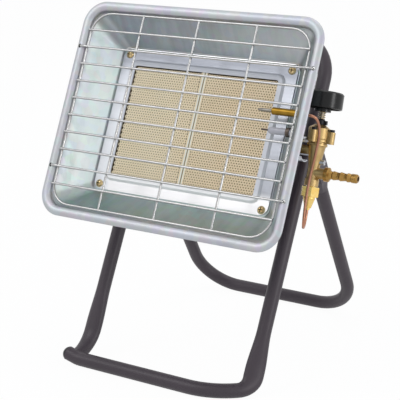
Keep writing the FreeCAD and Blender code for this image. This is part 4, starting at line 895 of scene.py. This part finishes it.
# The body's face lies a hair behind the cells, so that the two don't show through each other.
body_face = tile_face + 0.03
pocket_depth = 1.6
field_rows = 23
field_drop = -0.3
for side, node, columns in ((-1, "ceramic_tile_left", 27), (1, "ceramic_tile_right", 28)):
    middle = side * tile_middle
    left, right = (border, strip) if side < 0 else (strip, border)
    field_middle = side * (half_joint + rib + (columns + 0.5) * pitch / 2)
    spread = HEAD @ Matrix.Translation((field_middle, tile_face, field_drop))
    holes = grow("holes", field, cell, cordierite, spread, Columns=columns, Rows=field_rows, Pitch=pitch)
    body = pocket_block("plaque body", (middle - half_wide, body_face, -half_tall),
                        (middle + half_wide, tile_back, half_tall), left, right, border, pocket_depth)
    body.transform(HEAD)
    body.materials.append(cordierite)
    plaque = join("perforated_" + node.replace("ceramic_", ""), [holes, put("body", body)])
    plaque.data.shade_flat()
    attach(plaque, "base")
    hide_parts(node)
    print(plaque.name, len(plaque.data.polygons), "faces")

# %% [markdown]
# ## The knob's return spring
# Between the tap's collar and the knob sits an open coil of thin wire, plated and passivated as the screws
# are. A Screw modifier could wind it, but the Spiral node takes its turns, radius and height as they are
# measured. The spring gets shorter by 4 mm when the knob is pushed.

# %% Return spring
coil, given = new_tree("Open coil", {"Turns": "Float", "Coil radius": "Float", "Height": "Float",
                                     "Wire diameter": "Float"})
turns = {"Resolution": 24, "Rotations": given["Turns"], "Height": given["Height"],
         "Start Radius": given["Coil radius"], "End Radius": given["Coil radius"]}
spiral = add(coil, "GeometryNodeCurveSpiral", turns).outputs[0]
end_tree(coil, round_wire(coil, spiral, given["Wire diameter"], 10), given["Material"])
spring_low = 34.8
spring_rise = 10.8
spring_wire = 0.9
spring = grow("return_coil", coil, line_mesh("start", [(0, 0, 0)]), passivate,
              TAP @ Matrix.Translation((0, 0, spring_low)), Turns=5.0, Coil_radius=3.7,
              Height=spring_rise, Wire_diameter=spring_wire)
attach(spring, "base")
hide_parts("return_spring")
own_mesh(spring)

# %% [markdown]
# ## The thermocouple's copper lead
# A soft copper tube, 3 mm thick, carries the thermocouple's current to the magnet under the tap. It leaves
# the sleeve behind the dish, runs down in front of the tap and turns up into the gland. A NURBS curve on
# the route's points, with order 3, gives the relaxed bends that hand-bent copper has.

# %% Copper lead
lead_d = 3.0
route = [Vector(p) for p in (
    (139.0, 20.0, 26.4), (145.5, 20.2, 26.3), (150.0, 25.5, 24.5), (150.6, 38.0, 13.0),
    (145.2, 50.0, -14.0), (140.9, 58.0, -42.0), (141.4, 62.0, -66.0), (142.4, 64.5, -81.5),
    (138.5, 76.0, -84.5), (136.5, 81.3, -73.0), (136.5, 78.6, -55.0))]
path = bpy.data.curves.new("copper_lead", "CURVE")
path.dimensions = "3D"
path.bevel_depth = lead_d / 2 * MM
path.bevel_resolution = 4
path.use_fill_caps = True
spline = path.splines.new("NURBS")
spline.points.add(len(route) - 1)
for point, spot in zip(spline.points, route):
    point.co = (*(HEAD @ spot), 1.0)
spline.use_endpoint_u = True
spline.order_u = 3
spline.resolution_u = 12
path.materials.append(copper)
lead = put("copper_lead", path)
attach(lead, "base")
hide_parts("thermocouple_lead")
print("lead of", len(route), "points,", round(spline.calc_length() / MM, 1), "mm")

# %% [markdown]
# ## Floor
# The heater stands on plain white paper. A camera ray, or one that metal or glass sends on, finds the
# paper nearly white, and light itself finds ordinary paper, so a trace of the heater's shadow stays and the
# paper throws no extra light.

# %% Floor


def seen_directly(tree):
    """1 for rays from the camera and those that metal or glass sends on, 0 for light."""
    rays = add(tree, "ShaderNodeLightPath").outputs
    seen = rays["Is Camera Ray"]
    for name in ("Is Glossy Ray", "Is Transmission Ray"):
        seen = add(tree, "ShaderNodeMath", {0: seen, 1: rays[name]}, operation="MAXIMUM").outputs[0]
    return seen


floor_half = 4
floor_z = -0.0005
white_share = 0.96
floor_mesh = bpy.data.meshes.new("floor")
floor_mesh.from_pydata([(x * floor_half, y * floor_half, floor_z) for x, y in square], [], [(0, 1, 2, 3)])
floor = put("floor", floor_mesh)
paper, tree, shader = start_material("white_paper", 0.9)
shader.inputs["Base Color"].default_value = linear("#F4F4F4")
shader.inputs["Specular IOR Level"].default_value = 0.0
seen = seen_directly(tree)
share = add(tree, "ShaderNodeMath", {0: seen, 1: white_share}, operation="MULTIPLY").outputs[0]
white = add(tree, "ShaderNodeEmission", {"Color": "#FFFFFF", "Strength": 1.0}).outputs[0]
mixed = add(tree, "ShaderNodeMixShader", {0: share, 1: shader.outputs[0], 2: white}).outputs[0]
tree.links.new(mixed, tree.nodes["Material Output"].inputs["Surface"])
floor_mesh.materials.append(paper)
print("floor of", 2 * floor_half, "m")

# %% [markdown]
# ## World
# The world is white where the camera or a mirror-like surface sees it, and a softer, cooler grey for the
# light that it gives, so that pale surfaces don't clip.

# %% World
world = bpy.data.worlds.new("studio")
bpy.context.scene.world = world
world.use_nodes = True
tree = world.node_tree
tree.nodes.clear()
soft = add(tree, "ShaderNodeBackground", {"Color": "#F6F9FF", "Strength": 0.80}).outputs[0]
white = add(tree, "ShaderNodeBackground", {"Color": "#FFFFFF", "Strength": 1.0}).outputs[0]
sky = add(tree, "ShaderNodeMixShader", {0: seen_directly(tree), 1: soft, 2: white}).outputs[0]
add(tree, "ShaderNodeOutputWorld", {"Surface": sky})
print("world", world.name)

# %% [markdown]
# ## Lamps
# One large soft lamp at the upper left shapes the tubes, one low at the right opens the shadows and lights
# the dish's left wall, and a weak one from above parts the heater from the floor. All three look at the
# heater's middle.

# %% Lamps
aim = Vector((0, 0, 0.2))
for name, place, size, power in (("key", (-1.0, -1.3, 1.8), 0.9, 9.0),
                                 ("fill", (2.2, -0.35, 0.75), 0.55, 9.3),
                                 ("top", (0.2, 0.5, 2.2), 1.0, 4.0)):
    lamp = bpy.data.lights.new(name, "AREA")
    lamp.size = size
    lamp.energy = power
    holder = put(name, lamp)
    holder.location = place
    holder.rotation_euler = (aim - Vector(place)).to_track_quat("-Z", "Y").to_euler()
    print("lamp", name, power, "W")

# %% [markdown]
# ## Camera
# The camera was fitted to the rim, the tiles and the stand in the photograph. Its place is in millimetres
# of the frame, and three directions say how it is turned.

# %% Camera
camera_data = bpy.data.cameras.new("camera")
camera_data.lens = 104.456
camera_data.sensor_width = 36.0
camera_data.clip_end = 20.0
camera = put("camera", camera_data)
camera_place = Vector((613.95, -1146.20, 549.84))
to_right = Vector((0.86467, 0.50230, 0.00630))
upward = Vector((-0.14394, 0.23572, 0.96110))
backward = Vector((0.48127, -0.83195, 0.27612))
turned = Matrix((to_right, upward, backward)).transposed().to_4x4()
camera.matrix_world = Matrix.Translation(camera_place * MM) @ turned
bpy.context.scene.camera = camera
bpy.context.scene.view_settings.view_transform = "Standard"
print("camera at", [round(v, 3) for v in camera.location])

# %% [markdown]
# ## The end

# %% End
print("scene built")
